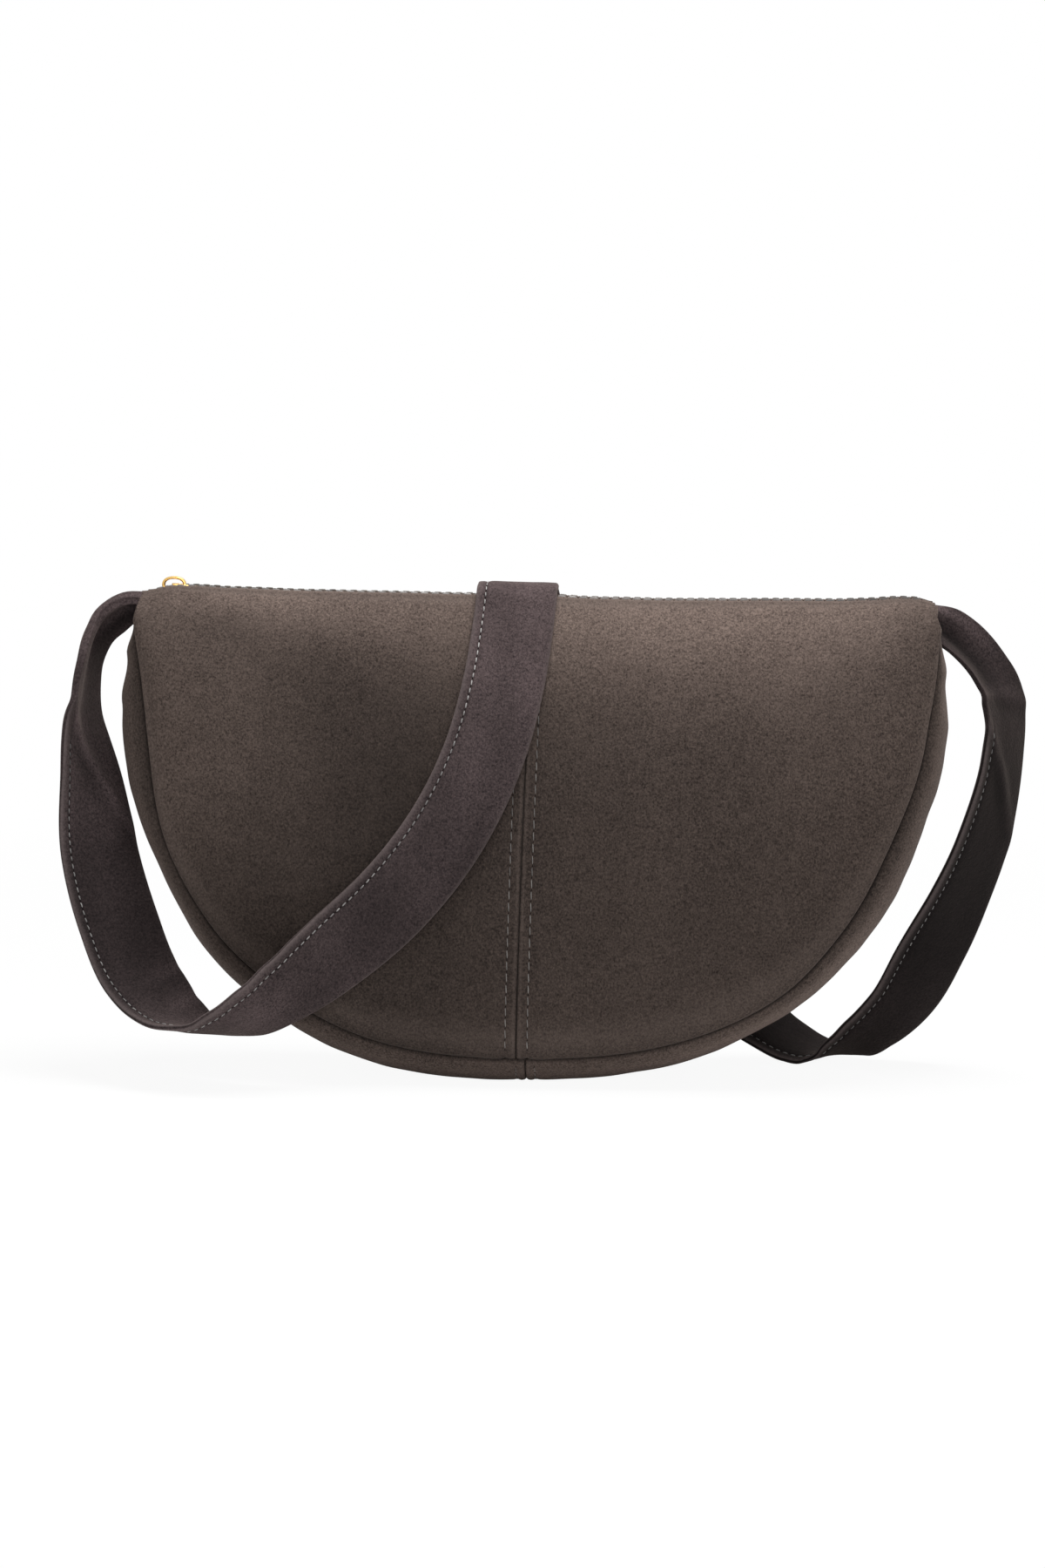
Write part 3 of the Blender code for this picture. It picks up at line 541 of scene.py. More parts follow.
print("a point of the front:", panel_point(np.array(0.3), np.array(0.4)).round(4))

# %% [markdown]
# ## From a grid of points to a walled piece
#
# A sheet of leather is a grid with a wall. The grid gets its faces in code, because no primitive
# has this shape, and the Solidify modifier gives the wall, inwards from the outer face. The
# modifier is applied, so that the finished piece is a plain closed mesh at the origin. A piece
# has attributes for its finish, or its own map in metres for the threads of a cloth.

# %% Grid, wall and attributes
def grid_faces(rows, columns, wrap=False):
    index = np.arange(rows * columns).reshape(rows, columns)
    after = np.roll(index, -1, axis=1) if wrap else index[:, 1:]
    first = index if wrap else index[:, :-1]
    return np.stack([first[:-1], after[:-1], after[1:], first[1:]], axis=-1).reshape(-1, 4)


def tube_faces(rings, count):
    """The faces of a closed tube of so many rings, with a cap at both ends."""
    faces = grid_faces(rings, count, wrap=True).tolist()
    return faces + [list(range(count))[::-1], list(range((rings - 1) * count, rings * count))]


def new_piece(name, points, faces, material, slot):
    mesh = bpy.data.meshes.new(name)
    mesh.from_pydata(points.reshape(-1, 3).tolist(), [], [list(map(int, face)) for face in faces])
    mesh.materials.append(material)
    piece = bpy.data.objects.new(name, mesh)
    bpy.context.scene.collection.objects.link(piece)
    mesh.shade_smooth()
    return piece


def paint(piece, name, values):
    layer = piece.data.attributes.new(name, "FLOAT", "POINT")
    layer.data.foreach_set("value", np.clip(values, 0, 1).astype(np.float32).ravel())


def lay_map(piece, flat):
    """The piece's own map in metres: one pair for each of its points."""
    layer = piece.data.uv_layers.new(name="cloth")
    corners = np.zeros(len(piece.data.loops), int)
    piece.data.loops.foreach_get("vertex_index", corners)
    layer.data.foreach_set("uv", flat.reshape(-1, 2)[corners].astype(np.float32).ravel())


def only(piece):
    """Selects this piece and nothing else."""
    bpy.ops.object.select_all(action="DESELECT")
    piece.select_set(True)
    bpy.context.view_layer.objects.active = piece


def wall(piece, thickness):
    """Gives a sheet its thickness, inwards, and applies it."""
    only(piece)
    solid = piece.modifiers.new("wall", "SOLIDIFY")
    solid.thickness, solid.offset, solid.use_even_offset = thickness, -1.0, True
    bpy.ops.object.modifier_apply(modifier="wall")
    return piece


def grid_normals(points):
    """Unit normals of a grid, from its own steps along rows and columns."""
    return unit(np.cross(np.gradient(points, axis=1), np.gradient(points, axis=0)))


def arc(x, y, across, up, start, end, count):
    """Points of a circle's or an oval's arc round a middle."""
    turns = np.linspace(start, end, count)
    return [(x + across * math.cos(turn), y + up * math.sin(turn)) for turn in turns]


def half_area(piece):
    return sum(face.area for face in piece.data.polygons) / 2


print("faces of a 3 by 3 grid:", len(grid_faces(3, 3)))

# %% [markdown]
# ## Sewing the panels
#
# The columns lie close together beside the centre seam, where the groove and the stitch valley
# are narrow, and the rows lie close together at the outer seam and at the turned edge. The three
# attributes for the suede are painted at the same time, from the same distances.

# %% The four panels
def spaced(stops):
    """Positions that run through the stops: (where, count of steps up to the next stop)."""
    rows = [np.linspace(a, b, n, endpoint=False) for (a, n), (b, _) in zip(stops, stops[1:])]
    return np.concatenate(rows + [[stops[-1][0]]])


PANEL_COLUMNS = spaced(
    [(0.0004, 10), (0.004, 10), (0.012, 12), (0.03, 16), (0.12, 60), (0.94, 12), (1.0, 0)]
)
PANEL_ROWS = spaced([(0, 14), (0.03, 16), (0.14, 70), (0.90, 14), (1.0, 0)])
HEM_ROWS = spaced([(0, 8), (1.0, 3), (2.0, 0)])[1:]


def hem_surface(share, turn, back):
    """Points of the turned edge, and the way out of its half round."""
    top = np.ones_like(share)
    fold = panel_surface(share, top, back)[0] - mirrored(panel_point(share, top), back)
    points = mirrored(hem_point(share, turn), back) + fold * np.clip(1 - turn / 2, 0, 1)[..., None]
    angle = np.minimum(turn, 1) * math.pi
    out = np.stack([np.zeros_like(angle), -np.cos(angle), np.sin(angle)], axis=-1)
    return points, mirrored(out, back)


def make_panel(name, node, side, back):
    share, rise = np.meshgrid(side * PANEL_COLUMNS, PANEL_ROWS)
    hem = hem_surface(*np.meshgrid(side * PANEL_COLUMNS, HEM_ROWS), back)[0]
    points = np.concatenate([panel_surface(share, rise, back)[0], hem])
    faces = grid_faces(*points.shape[:2])
    if (side < 0) != back:
        faces = faces[:, ::-1]
    piece = new_piece(name, points, faces, body_suede, "body_suede")
    centre = from_centre_seam(share, rise)
    # Painted shade in the centre seam's groove and along the outer seam.
    crease_shade = np.maximum(hill(centre, 0, 0.00035), hill(rise, 0, 0.004))
    worn = 0.3 * hill(centre, 0.0013, 0.0006) + 0.9 * hill(rise, 1.0, 0.012)
    worn += 0.3 * hill(rise, 0.05, 0.03)
    nap_and_light = painted_light_of_panel(points)
    # Painted shade on the inner side of the turned edge, past its crest.
    nap_and_light[-len(HEM_ROWS):] *= 1 - 0.75 * np.clip((HEM_ROWS - 0.40) / 0.15, 0, 1)[:, None]
    over_hem = ((0, len(HEM_ROWS)), (0, 0))
    paint(piece, "nap_and_light", nap_and_light)
    paint(piece, "crease_shade", np.pad(crease_shade, over_hem, mode="edge"))
    paint(piece, "wear_and_light", np.pad(worn, over_hem, mode="edge"))
    wall(piece, SUEDE)
    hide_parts(node)
    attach(piece, "bag")
    return piece


panels = {
    (face, half): make_panel(f"{face}_suede_{half}", f"{face}_panel_{half}", side, facing > 0)
    for face, facing in FACES for half, side in HALVES
}
print("panel faces:", len(panels["front", "left"].data.polygons))
print("panel area:", [round(half_area(piece), 4) for piece in panels.values()])

# %% [markdown]
# ## The gusset
#
# The gusset is a long band between the two outer seams, sewn together under the bag. It bulges
# because the filling presses it, and it is flat only where the bag stands on it. Its rows follow
# a sine, so that they lie closer at the seams, where the band rolls over.

# %% The two halves of the gusset
BASE_SHARE = (GUSSET_SEAM_X + LEAN * TOP_HEIGHT) / SEAM_HALF_LENGTH
GUSSET_RELIEF = ((-0.0005, 0, 0.0005), (-0.00025, GUSSET_ROW, 0.0009), (0.0002, 0.002, 0.0011))
GUSSET_WAVE = 0.00018


def rolled(count):
    """Places from -1 to 1 that lie closer at both ends."""
    return np.sin(np.linspace(-1, 1, count) * math.pi / 2)


def gusset_point(share, across):
    """Points of the band's outer face: across runs from the front seam, -1, to the back seam, 1."""
    x, z = seam_point(share)
    out_x, out_z = seam_outward(share)
    bulge = read_table(GUSSET_BULGE, share) / 1000 * np.sqrt(np.maximum(1 - across * across, 0.0))
    depth = across * (seam_half_depth(z) - 0.1 * GAP)
    z = np.maximum(z + out_z * bulge, 0.0)
    return np.stack([sway(x + out_x * bulge, z), depth, z], axis=-1)


def gusset_surface(share, across):
    """Points of the finished band and the directions in which it looks."""
    low, high = np.maximum(across - 0.004, -1), np.minimum(across + 0.004, 1)
    along = gusset_point(share + 0.0015, across) - gusset_point(share - 0.0015, across)
    out = unit(np.cross(gusset_point(share, high) - gusset_point(share, low), along))
    seam = np.abs(share - BASE_SHARE) * SEAM_HALF_LENGTH
    waves = np.sin(share * 61 + 0.7) * np.sin(across * 2.1 + share * 17)
    waves += 0.5 * np.sin(share * 133 + 1.9) * np.cos(across * 3.0)
    relief = seam_relief(seam, GUSSET_RELIEF) + GUSSET_WAVE * (waves - 0.4) * (1 - across**2)
    points = gusset_point(share, across) + out * relief[..., None]
    points[..., 2] = np.maximum(points[..., 2], 0.0)
    return points, out


def make_gusset(name, node, shares):
    share, across = np.meshgrid(shares, rolled(61))
    points = gusset_surface(share, across)[0]
    faces = grid_faces(*points.shape[:2])[:, ::-1]
    piece = new_piece(name, points, faces, body_suede, "body_suede")
    seam, rim = np.abs(share - BASE_SHARE) * SEAM_HALF_LENGTH, np.abs(across)
    # Painted light at the bottom, lit from the white floor; painted shade beside both seams.
    nap_and_light = (1.15 + 1.0 * hill(share, BASE_SHARE, 0.45)) * (1 - 0.5 * hill(rim, 1, 0.11))
    paint(piece, "nap_and_light", nap_and_light / LIGHT_RANGE)
    # Painted shade in the bottom seam's groove and beside both outer seams.
    paint(piece, "crease_shade", np.maximum(0.5 * hill(seam, 0, 0.0004), 0.7 * hill(rim, 1, 0.006)))
    # Rubbed beside the bottom seam, and painted light along the middle of the band.
    paint(piece, "wear_and_light", 0.6 * hill(seam, 0.0016, 0.0007) + 0.35 * hill(across, 0, 0.5))
    wall(piece, SUEDE)
    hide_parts(node)
    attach(piece, "bag")
    return piece


half_gap = GAP / 2 / SEAM_HALF_LENGTH
left_shares = spaced(
    [(-1, 150), (BASE_SHARE - 0.04, 14), (BASE_SHARE - 0.02, 24), (BASE_SHARE - half_gap, 0)]
)
right_shares = spaced(
    [(BASE_SHARE + half_gap, 24), (BASE_SHARE + 0.02, 14), (BASE_SHARE + 0.04, 150), (1, 0)]
)
gussets = [
    make_gusset(f"gusset_suede_{half}", f"gusset_{half}", shares)
    for half, shares in (("left", left_shares), ("right", right_shares))
]
print("gusset area:", [round(half_area(piece), 4) for piece in gussets])

# %% [markdown]
# ## The strap
#
# The strap is one strip of suede, folded lengthwise and sewn along its open edge. Where it lies is
# a list of stations: the middle of the strip, the direction across it, how much of its width it
# spans (it is gathered into the bag's corners) and how far it cups. Most are the CAD model's own.
# At both ends and at the low turn on the right they were moved a few millimetres, to lie as in
# the photograph. A smooth curve runs through them.

# %% Where the strap lies
STRAP_WIDTH = 0.0340
STRAP_ROUTE = (
    ((-165.0, 0, 198.6), (0, 8, -7), 0.34, 1.5), ((-172.4, 0, 196.6), (4, 10, -12), 0.46, 2.8),
    ((-179.6, 0, 191.6), (6, 11, -13), 0.52, 3.6), ((-184.8, -0.5, 184.0), (5, 18, -6), 0.64, 3.8),
    ((-188.2, -1, 175.5), (4, 28, -2), 0.86, 2.6), ((-190.3, -2, 165.0), (4.5, 30, -1), 0.93, 1.8),
    ((-191.2, -3, 155.0), (6.5, 30, 0), 0.97, 1.4), ((-190.3, -6, 143.0), (12.5, 29, 0), 0.99, 1.0),
    ((-187.0, -10, 123.0), (21.5, 26, 0), 1.0, 0.8), ((-181.8, -20, 92.0), (28, 15, 3), 1.0, 0.8),
    ((-172.6, -30, 66.0), (31, 10, 5), 1.0, 0.8), ((-161.6, -40, 45.0), (28, 17, 10), 1.0, 1.0),
    ((-145.0, -51, 30.5), (20, 27, 4), 1.0, 1.5), ((-130.5, -57, 26.5), (12, 31, -6), 1.0, 2.0),
    ((-115.0, -61, 31.5), (11, 27, -18), 1.0, 2.0), ((-97.6, -61, 43.0), (15, 19, -24), 1.0, 1.5),
    ((-77.0, -56, 59.5), (19, 8, -26), 1.0, 1.0), ((-56.3, -52.0, 78.5), (20, 2, -24), 1.0, 1.0),
    ((-34.5, -46.3, 106.5), (27, -2.7, -17), 1, 0.6),
    ((-19.3, -38.9, 138), (31, -3.2, -12), 1, 0.6),
    ((-11.2, -28.1, 169.5), (33, -1.9, -5), 1, 0.5), ((-8.3, -18.2, 191.5), (34, -0.4, -1), 1, 0.4),
    ((-7.6, -13.7, 199.2), (34, -0.6, -1), 1.0, 0.3), ((-7.2, -11.2, 204.2), (34, 0, -1), 1.0, 0.2),
    ((-7.1, -8.2, 206.9), (34, 0, -1), 1.0, 0.2), ((-6.9, -4.5, 208.0), (34, 0, -1), 1.0, 0.2),
    ((-7.0, 0, 208.3), (34, 0, -1), 1.0, 0.2), ((-7.3, 4.5, 208.0), (34, 0, 0), 1.0, 0.2),
    ((-7.5, 8.2, 206.9), (34, 0, 1), 1.0, 0.2), ((-7.3, 11.2, 204.2), (34, 0, 2), 1.0, 0.2),
    ((-6.0, 13.8, 199.2), (34, -2.4, 4), 1.0, 0.3), ((-2.0, 18.1, 191.5), (33, -3.6, 7), 1.0, 0.4),
    ((8.5, 28.2, 169.5), (30, -5.7, 14), 1.0, 0.5), ((22.5, 37.8, 142.0), (28, -4.9, 17), 1.0, 0.6),
    ((42.0, 45.9, 109.0), (28, -2.7, 18), 1.0, 0.6), ((60.0, 50.3, 77.0), (27, 0, 19), 1.0, 0.8),
    ((77.5, 51.5, 48.0), (24, 4, 19), 1.0, 0.8), ((92.0, 50.3, 26.5), (18, 12, 17), 1.0, 0.8),
    ((103.5, 49.0, 14.3), (10, 24, 11), 1.0, 0.8), ((112.5, 49.5, 8.4), (10, 27, 8), 1.0, 0.6),
    ((121.0, 48.5, 5.0), (14, 25, 3), 1.0, 0.5), ((129.5, 45.5, 4.4), (19, 22, -1), 1.0, 0.4),
    ((137.5, 42.0, 7.8), (22, 21, -5), 1.0, 0.4), ((146.5, 40.0, 14.6), (24, 22, -9), 1.0, 0.5),
    ((158.5, 37.5, 26.5), (25, 20, -13), 1.0, 0.8), ((171.2, 27.0, 51.0), (25, 18, -12), 1.0, 0.8),
    ((182.5, 17.5, 77.4), (24, 22, -7), 1.0, 0.8), ((191.4, 9.5, 103.0), (23, 24, -3), 1.0, 0.8),
    ((198.2, 5.0, 137.6), (18, 28, -1), 1.0, 0.6), ((198.6, 3.2, 157.0), (18, 27, 1), 0.95, -0.6),
    ((197.0, 2.4, 165.8), (17, 22, 4), 0.86, -2.2), ((192.7, 1.0, 174.8), (14, 16, 8), 0.70, -3.8),
    ((187.0, 0, 182.6), (9, 12, 14), 0.62, -4.6), ((180.0, 0, 189.2), (3, 9, 17), 0.57, -4.6),
    ((173.6, 0, 193.4), (0, 8, 16), 0.54, -3.6), ((166.0, 0, 197.5), (0, 9, 9), 0.40, -1.8),
)


def lengths(points):
    """The gaps between the points of a line, and how far along it each point lies."""
    gaps = np.linalg.norm(np.diff(points, axis=0), axis=1)
    return gaps, np.concatenate([[0], np.cumsum(gaps)])


def smooth_route(points, step):
    """A smooth curve through the given points, cut into pieces of about one step."""
    gaps, along = lengths(points[:, :3])
    slopes = np.gradient(points, along, axis=0)
    rows = []
    for index, gap in enumerate(gaps):
        first, last = points[index], points[index + 1]
        first_slope, last_slope = slopes[index] * gap, slopes[index + 1] * gap
        bend = 3 * (last - first) - 2 * first_slope - last_slope
        rest = 2 * (first - last) + first_slope + last_slope
        count = max(int(round(gap / step)), 1)
        for share in np.arange(count) / count:
            rows.append(first + first_slope * share + bend * share**2 + rest * share**3)
    rows.append(points[-1])
    return np.array(rows)


def strap_frames(step):
    """Length so far, middle, across, outwards, half span and crown at each step."""
    rows = []
    for centre, across, spread, crown in STRAP_ROUTE:
        across = np.array(across, float) / np.linalg.norm(across)
        rows.append([*(c / 1000 for c in centre), *across, spread, crown / 1000])
    rows = smooth_route(np.array(rows), step)
    along = lengths(rows[:, :3])[1]
    tangent = unit(np.gradient(rows[:, :3], along, axis=0))
    across = unit(rows[:, 3:6] - tangent * (rows[:, 3:6] * tangent).sum(1, keepdims=True))
    outer = np.cross(across, tangent)
    return along, rows[:, :3], across, outer, rows[:, 6] * STRAP_WIDTH / 2, rows[:, 7]


STRAP = strap_frames(0.0016)
STRAP_LENGTH = STRAP[0][-1]
print("strap length:", round(STRAP_LENGTH, 3), "m in", len(STRAP[0]), "stations")

# %% [markdown]
# ## The strap's section
#
# The section is drawn flat: across the strip and out of it. It has a round fold on one edge, two
# lips on the sewn edge, and a valley under the stitches, four millimetres in. Swept along the
# stations it gives one closed tube. Near the bag's corners, where the strip is gathered, pleats
# run along it and its upper edge rolls over. A long fold runs down from each corner, and short
# ones cross the strip at the tight turns.

# %% Sweep the strap
STRAP_HALF_THICKNESS, ROLL_THICKNESS = 0.00135, 0.0019
PLEAT_HEIGHT, WAVE_HEIGHT, BUCKLE_HEIGHT, FOLD_HEIGHT = 0.0009, 0.0005, 0.0003, 0.0010


def strap_sewn(along):
    """1 where the sewn edge lies open, 0 near the corners, where it is rolled in and hidden."""
    return np.clip((np.minimum(along, STRAP_LENGTH - along) - 0.050) / 0.020, 0, 1)


def strap_rolls(along, share):
    """How much of the rolled upper edge is at each place: one roll at each end of the strip."""
    first, last = hill(along, 0, 0.045), hill(along, STRAP_LENGTH, 0.045)
    return first * hill(share, -0.60, 0.36) + last * hill(share, 0.60, 0.36)


def strap_half_thickness(along, share):
    """Half of the strip's thickness, from its sewn edge at share -1 to its fold at share 1."""
    inward = (share + 1) * STRAP_WIDTH / 2
    pressed = 0.00030 * hill(inward, STRAP_ROW, 0.0010) + 0.00015 * hill(inward, 0.0, 0.0012)
    half = STRAP_HALF_THICKNESS - strap_sewn(along) * pressed
    half += ROLL_THICKNESS * strap_rolls(along, share)
    return half + 0.00012 * hill(inward, 0.0075, 0.0030) + 0.00012 * hill(inward, 0.028, 0.004)


def strap_section():
    """Pairs for one ring: place across, and how much of the half thickness, on which side."""
    flat = np.concatenate([np.linspace(-0.955, -0.60, 12), np.linspace(-0.55, 0.92, 18)])
    fold = arc(0.92, 0.0, 0.08, 1.0, math.radians(75), math.radians(-75), 11)
    lip = [(-0.997, 0.25), (-1.0, 0.62), (-0.985, 0.93)]
    lips = [(share, -side) for share, side in lip[::-1]] + [(-0.985, 0.0)] + lip
    section = [(share, 1.0) for share in flat] + fold + [(share, -1.0) for share in flat[::-1]]
    return np.array(section + lips)


def strap_ridge(along, share, reach):
    """The long fold that runs from the sewn edge to the other one, below the left corner."""
    return hill(share, -0.95 + (along - 0.053) * 34, reach) * hill(along, 0.080, 0.030)


def strap_last_ridge(along, share, reach):
    """The same on the right: a fold that leaves the sewn edge below the corner."""
    back = STRAP_LENGTH - along
    return hill(share, -0.76 + (back - 0.064) * 36, reach) * hill(back, 0.084, 0.026)


def strap_kinks(along, share, shift=0.0, reach=0.0035):
    """Short folds across: at the right corner and on the inner half of the low left turn."""
    corner = hill(STRAP_LENGTH - along, 0.047 + 0.006 * share + shift, reach)
    inner = np.clip((share + 0.2) * 2, 0, 1)
    turn = hill(along, 0.180 + shift, reach) + hill(along, 0.197 + shift, reach)
    return corner + 0.8 * inner * turn


def strap_waves(along, share):
    """How far the whole strip waves out of its cupped form, in metres."""
    first, last = np.exp(-along / 0.030), np.exp(-(STRAP_LENGTH - along) / 0.030)
    pleats = first * np.cos(share * 6.3 + along * 30)
    pleats += last * np.cos(share * 5.7 + 0.8 - along * 22)
    soft = np.sin(along * 61 + share * 0.9) * np.sin(along * 23 + 1.3) * (0.35 + 0.65 * share**2)
    buckles = hill(along, 0.235, 0.035) * np.sin(along * 420 + share * 1.4) * (1 - share) * 0.5
    folds = -1.6 * strap_ridge(along, share, 0.24)
    folds += 1.3 * strap_last_ridge(along, share, 0.22) + 0.9 * strap_kinks(along, share)
    waves = PLEAT_HEIGHT * pleats + WAVE_HEIGHT * soft
    return waves + BUCKLE_HEIGHT * buckles + FOLD_HEIGHT * folds


def read_columns(where, places, values):
    """Each column of the values, read between its places."""
    return np.stack([np.interp(where, places, column) for column in values.T], axis=-1)


def strap_surface(along, share, side):
    """Points on the strip at any length along it and any place across it."""
    length, centre, across, outer, half, crown = STRAP
    span = share * np.interp(along, length, half)
    rise = np.interp(along, length, crown) * (1 - share**2)
    rise = rise + side * strap_half_thickness(along, share) + strap_waves(along, share)
    middle = read_columns(along, length, centre)
    flat = middle + read_columns(along, length, across) * span[..., None]
    return flat + read_columns(along, length, outer) * rise[..., None]


def strap_outward(along, share, side):
    """The direction in which the strip looks on one of its two sides."""
    across = strap_surface(along, share + 0.01, side) - strap_surface(along, share - 0.01, side)
    forward = strap_surface(along + 0.001, share, side) - strap_surface(along - 0.001, share, side)
    return unit(np.cross(across, forward)) * side[..., None]


# Painted light and shade along the strap, by millimetres along it.
STRAP_SHADING = (
    (0, 1.1), (30, 0.9), (60, 0.85), (91, 1.0), (125, 0.62), (155, 0.42), (185, 0.55), (215, 1.0),
    (240, 1.12), (270, 0.85), (300, 0.68), (335, 0.8), (368, 1.0), (400, 1.1), (433, 1.3),
    (465, 1.4), (500, 1.1), (560, 0.7), (640, 0.25), (700, 0.16), (722, 0.2), (745, 0.32),
    (826, 0.12), (890, 0.14), (920, 0.30), (935, 0.45), (955, 0.68), (982, 0.9),
)


def make_strap():
    section = strap_section()
    along, share = np.meshgrid(STRAP[0], section[:, 0], indexing="ij")
    side = np.broadcast_to(section[:, 1], along.shape)
    points = strap_surface(along, share, side)
    faces = tube_faces(*along.shape)
    piece = new_piece("strap_suede_strip", points, faces, strap_suede, "strap_suede")
    inward = (share + 1) * STRAP_WIDTH / 2
    notch = (np.abs(side) < 0.5) & (share < -0.9)
    # Painted shade in the hollows at both ends of the strap.
    hollow_shade = hill(along, 0.010, 0.024) * hill(share, 0.45, 0.45)
    hollow_shade += hill(along, STRAP_LENGTH - 0.014, 0.028) * hill(share, -0.30, 0.42)
    nap_and_light = read_table(STRAP_SHADING, along * 1000) * (1 - 0.75 * hollow_shade)
    # Painted highlights on the rolls, folds and kinks; painted shade beside folds and kinks.
    nap_and_light *= 1 + 1.1 * strap_rolls(along, share)
    nap_and_light *= 1 + 0.7 * strap_ridge(along, share, 0.13) - 0.3 * strap_ridge(along, share + 0.35, 0.25)
    nap_and_light *= (
        1 + 0.9 * strap_last_ridge(along, share, 0.10)
        - 0.3 * strap_last_ridge(along, share + 0.3, 0.22)
    )
    nap_and_light *= 1 + 0.45 * strap_kinks(along, share) - 0.3 * strap_kinks(along, share, 0.006, 0.004)
    nap_and_light *= 1 + 0.16 * np.sin(along * 97 + share * 3) * np.sin(along * 43 - share * 2 + 1)
    sewn = strap_sewn(along)
    paint(piece, "nap_and_light", nap_and_light / LIGHT_RANGE)
    # Painted shade in the valley under the stitches and between the lips of the sewn edge.
    paint(piece, "crease_shade", sewn * np.maximum(0.5 * hill(inward, STRAP_ROW, 0.0006), 0.25 * notch))
    worn = 0.7 * hill(share, 1.0, 0.05) + sewn * hill(share, -1.0, 0.09) * (1 - notch)
    paint(piece, "wear_and_light", worn)
    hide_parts("strap")
    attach(piece, "bag")
    return piece


strap = make_strap()
print("strap faces:", len(strap.data.polygons))

# %% [markdown]
# ## Stitches and needle holes
#
# A row of stitches is one thread that dives into the leather at every hole. Between two holes it
# shows as a short plump grain, a little higher in its middle. One stitch is modelled from a
# sphere: stretched, flattened, and its two ends pushed down. The holes are small pits painted
# dark, for the shade in them, seen as dots between the stitches. Both are then copied along
# measured rows, one mesh for each row.

# %% One stitch and one hole
def read_points(piece):
    points = np.zeros(len(piece.data.vertices) * 3)
    piece.data.vertices.foreach_get("co", points)
    faces = [list(face.vertices) for face in piece.data.polygons]
    bpy.data.objects.remove(piece, do_unlink=True)
    return points.reshape(-1, 3), faces


def select_where(piece, test):
    """In edit mode, selects the vertices that pass the test and no others."""
    bpy.ops.mesh.select_all(action="DESELECT")
    bpy.ops.object.mode_set(mode="OBJECT")
    for vertex in piece.data.vertices:
        vertex.select = test(vertex.co)
    bpy.ops.object.mode_set(mode="EDIT")


def begin(add, **settings):
    """Adds a primitive and opens it in edit mode with all of it selected."""
    bpy.ops.object.select_all(action="DESELECT")
    add(**settings)
    bpy.ops.object.mode_set(mode="EDIT")
    bpy.ops.mesh.select_all(action="SELECT")
    return bpy.context.active_object


def model_stitch():
    """A stitch one unit long, wide and high: X along the thread, Z out of the leather."""
    grain = begin(bpy.ops.mesh.primitive_uv_sphere_add, segments=6, ring_count=6, radius=0.5)
    bpy.ops.transform.rotate(value=math.pi / 2, orient_axis="Y", center_override=(0, 0, 0))
    select_where(grain, lambda co: abs(co.x) < 0.3)
    bpy.ops.transform.resize(value=(1.25, 1, 1), center_override=(0, 0, 0))
    for beyond, dip in ((0.4, 0.35), (0.49, 0.25)):
        select_where(grain, lambda co: abs(co.x) > beyond)
        bpy.ops.transform.translate(value=(0, 0, -dip))
    bpy.ops.object.mode_set(mode="OBJECT")
    return read_points(grain)


def model_hole():
    """A flat dark lens, one unit across, as painted shade: most of it is sunk in the leather."""
    lens = begin(bpy.ops.mesh.primitive_uv_sphere_add, segments=8, ring_count=4, radius=0.5)
    select_where(lens, lambda co: co.z > 0.4)
    bpy.ops.transform.translate(value=(0, 0, -0.1))
    bpy.ops.object.mode_set(mode="OBJECT")
    return read_points(lens)


STITCH, HOLE = model_stitch(), model_hole()
print("stitch faces:", len(STITCH[1]), "hole faces:", len(HOLE[1]))

# %% [markdown]
# ## Sewing the rows
#
# A row is a dense path on the finished surface with the direction that the surface looks in at each
# point. It is cut at every pitch, each cut is a needle hole, and a stitch is stretched from hole to
# hole. Real stitches slant a little, because the thread is twisted, so each copy is turned by the
# same small angle, and each is a little longer or shorter than the next. The thread's light
# attribute is painted light and shade along the row: 1 is its own colour, less is darker and more
# is lighter.

# %% The rows
STITCH_SLANT, STITCH_LIFT, PITCH_VARIES, HOLE_DEPTH = 0.07, 0.00010, 0.00012, 0.00016
# The thread's finish, then the share of the pitch that a stitch covers, its width and height, and
# a hole's length and width.
PLAIN_SEWING = (thread_grey, (0.80, 0.00038, 0.00036), (0.0007, 0.0006))
HEM_SEWING = (thread_pale, (0.84, 0.0005, 0.0009), (0.0008, 0.0008))
STRAP_SEWING = (thread_pale, (0.68, 0.00055, 0.00045), (0.0009, 0.0006))


def repeated(faces, size, count):
    """The faces of so many copies of a shape that has this many points."""
    starts = range(0, size * count, size)
    return [[start + corner for corner in face] for start in starts for face in faces]


def copies(name, shape, middles, along, out, size, material, slot, slant=0.0):
    """One mesh of many copies of a small shape, each turned to its own place."""
    points, faces = shape
    side = unit(np.cross(out, along))
    out = np.cross(along, side)
    turned = unit(along + side * slant)
    side = np.cross(out, turned)
    size = np.broadcast_to(size, (len(middles), 3))
    placed = middles[:, None] + sum(
        points[None, :, axis, None] * size[:, None, axis, None] * way[:, None]
        for axis, way in enumerate((turned, side, out))
    )
    placed[..., 2] = np.maximum(placed[..., 2], 0.0)
    piece = new_piece(name, placed, repeated(faces, len(points), len(middles)), material, slot)
    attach(piece, "bag")
    return piece


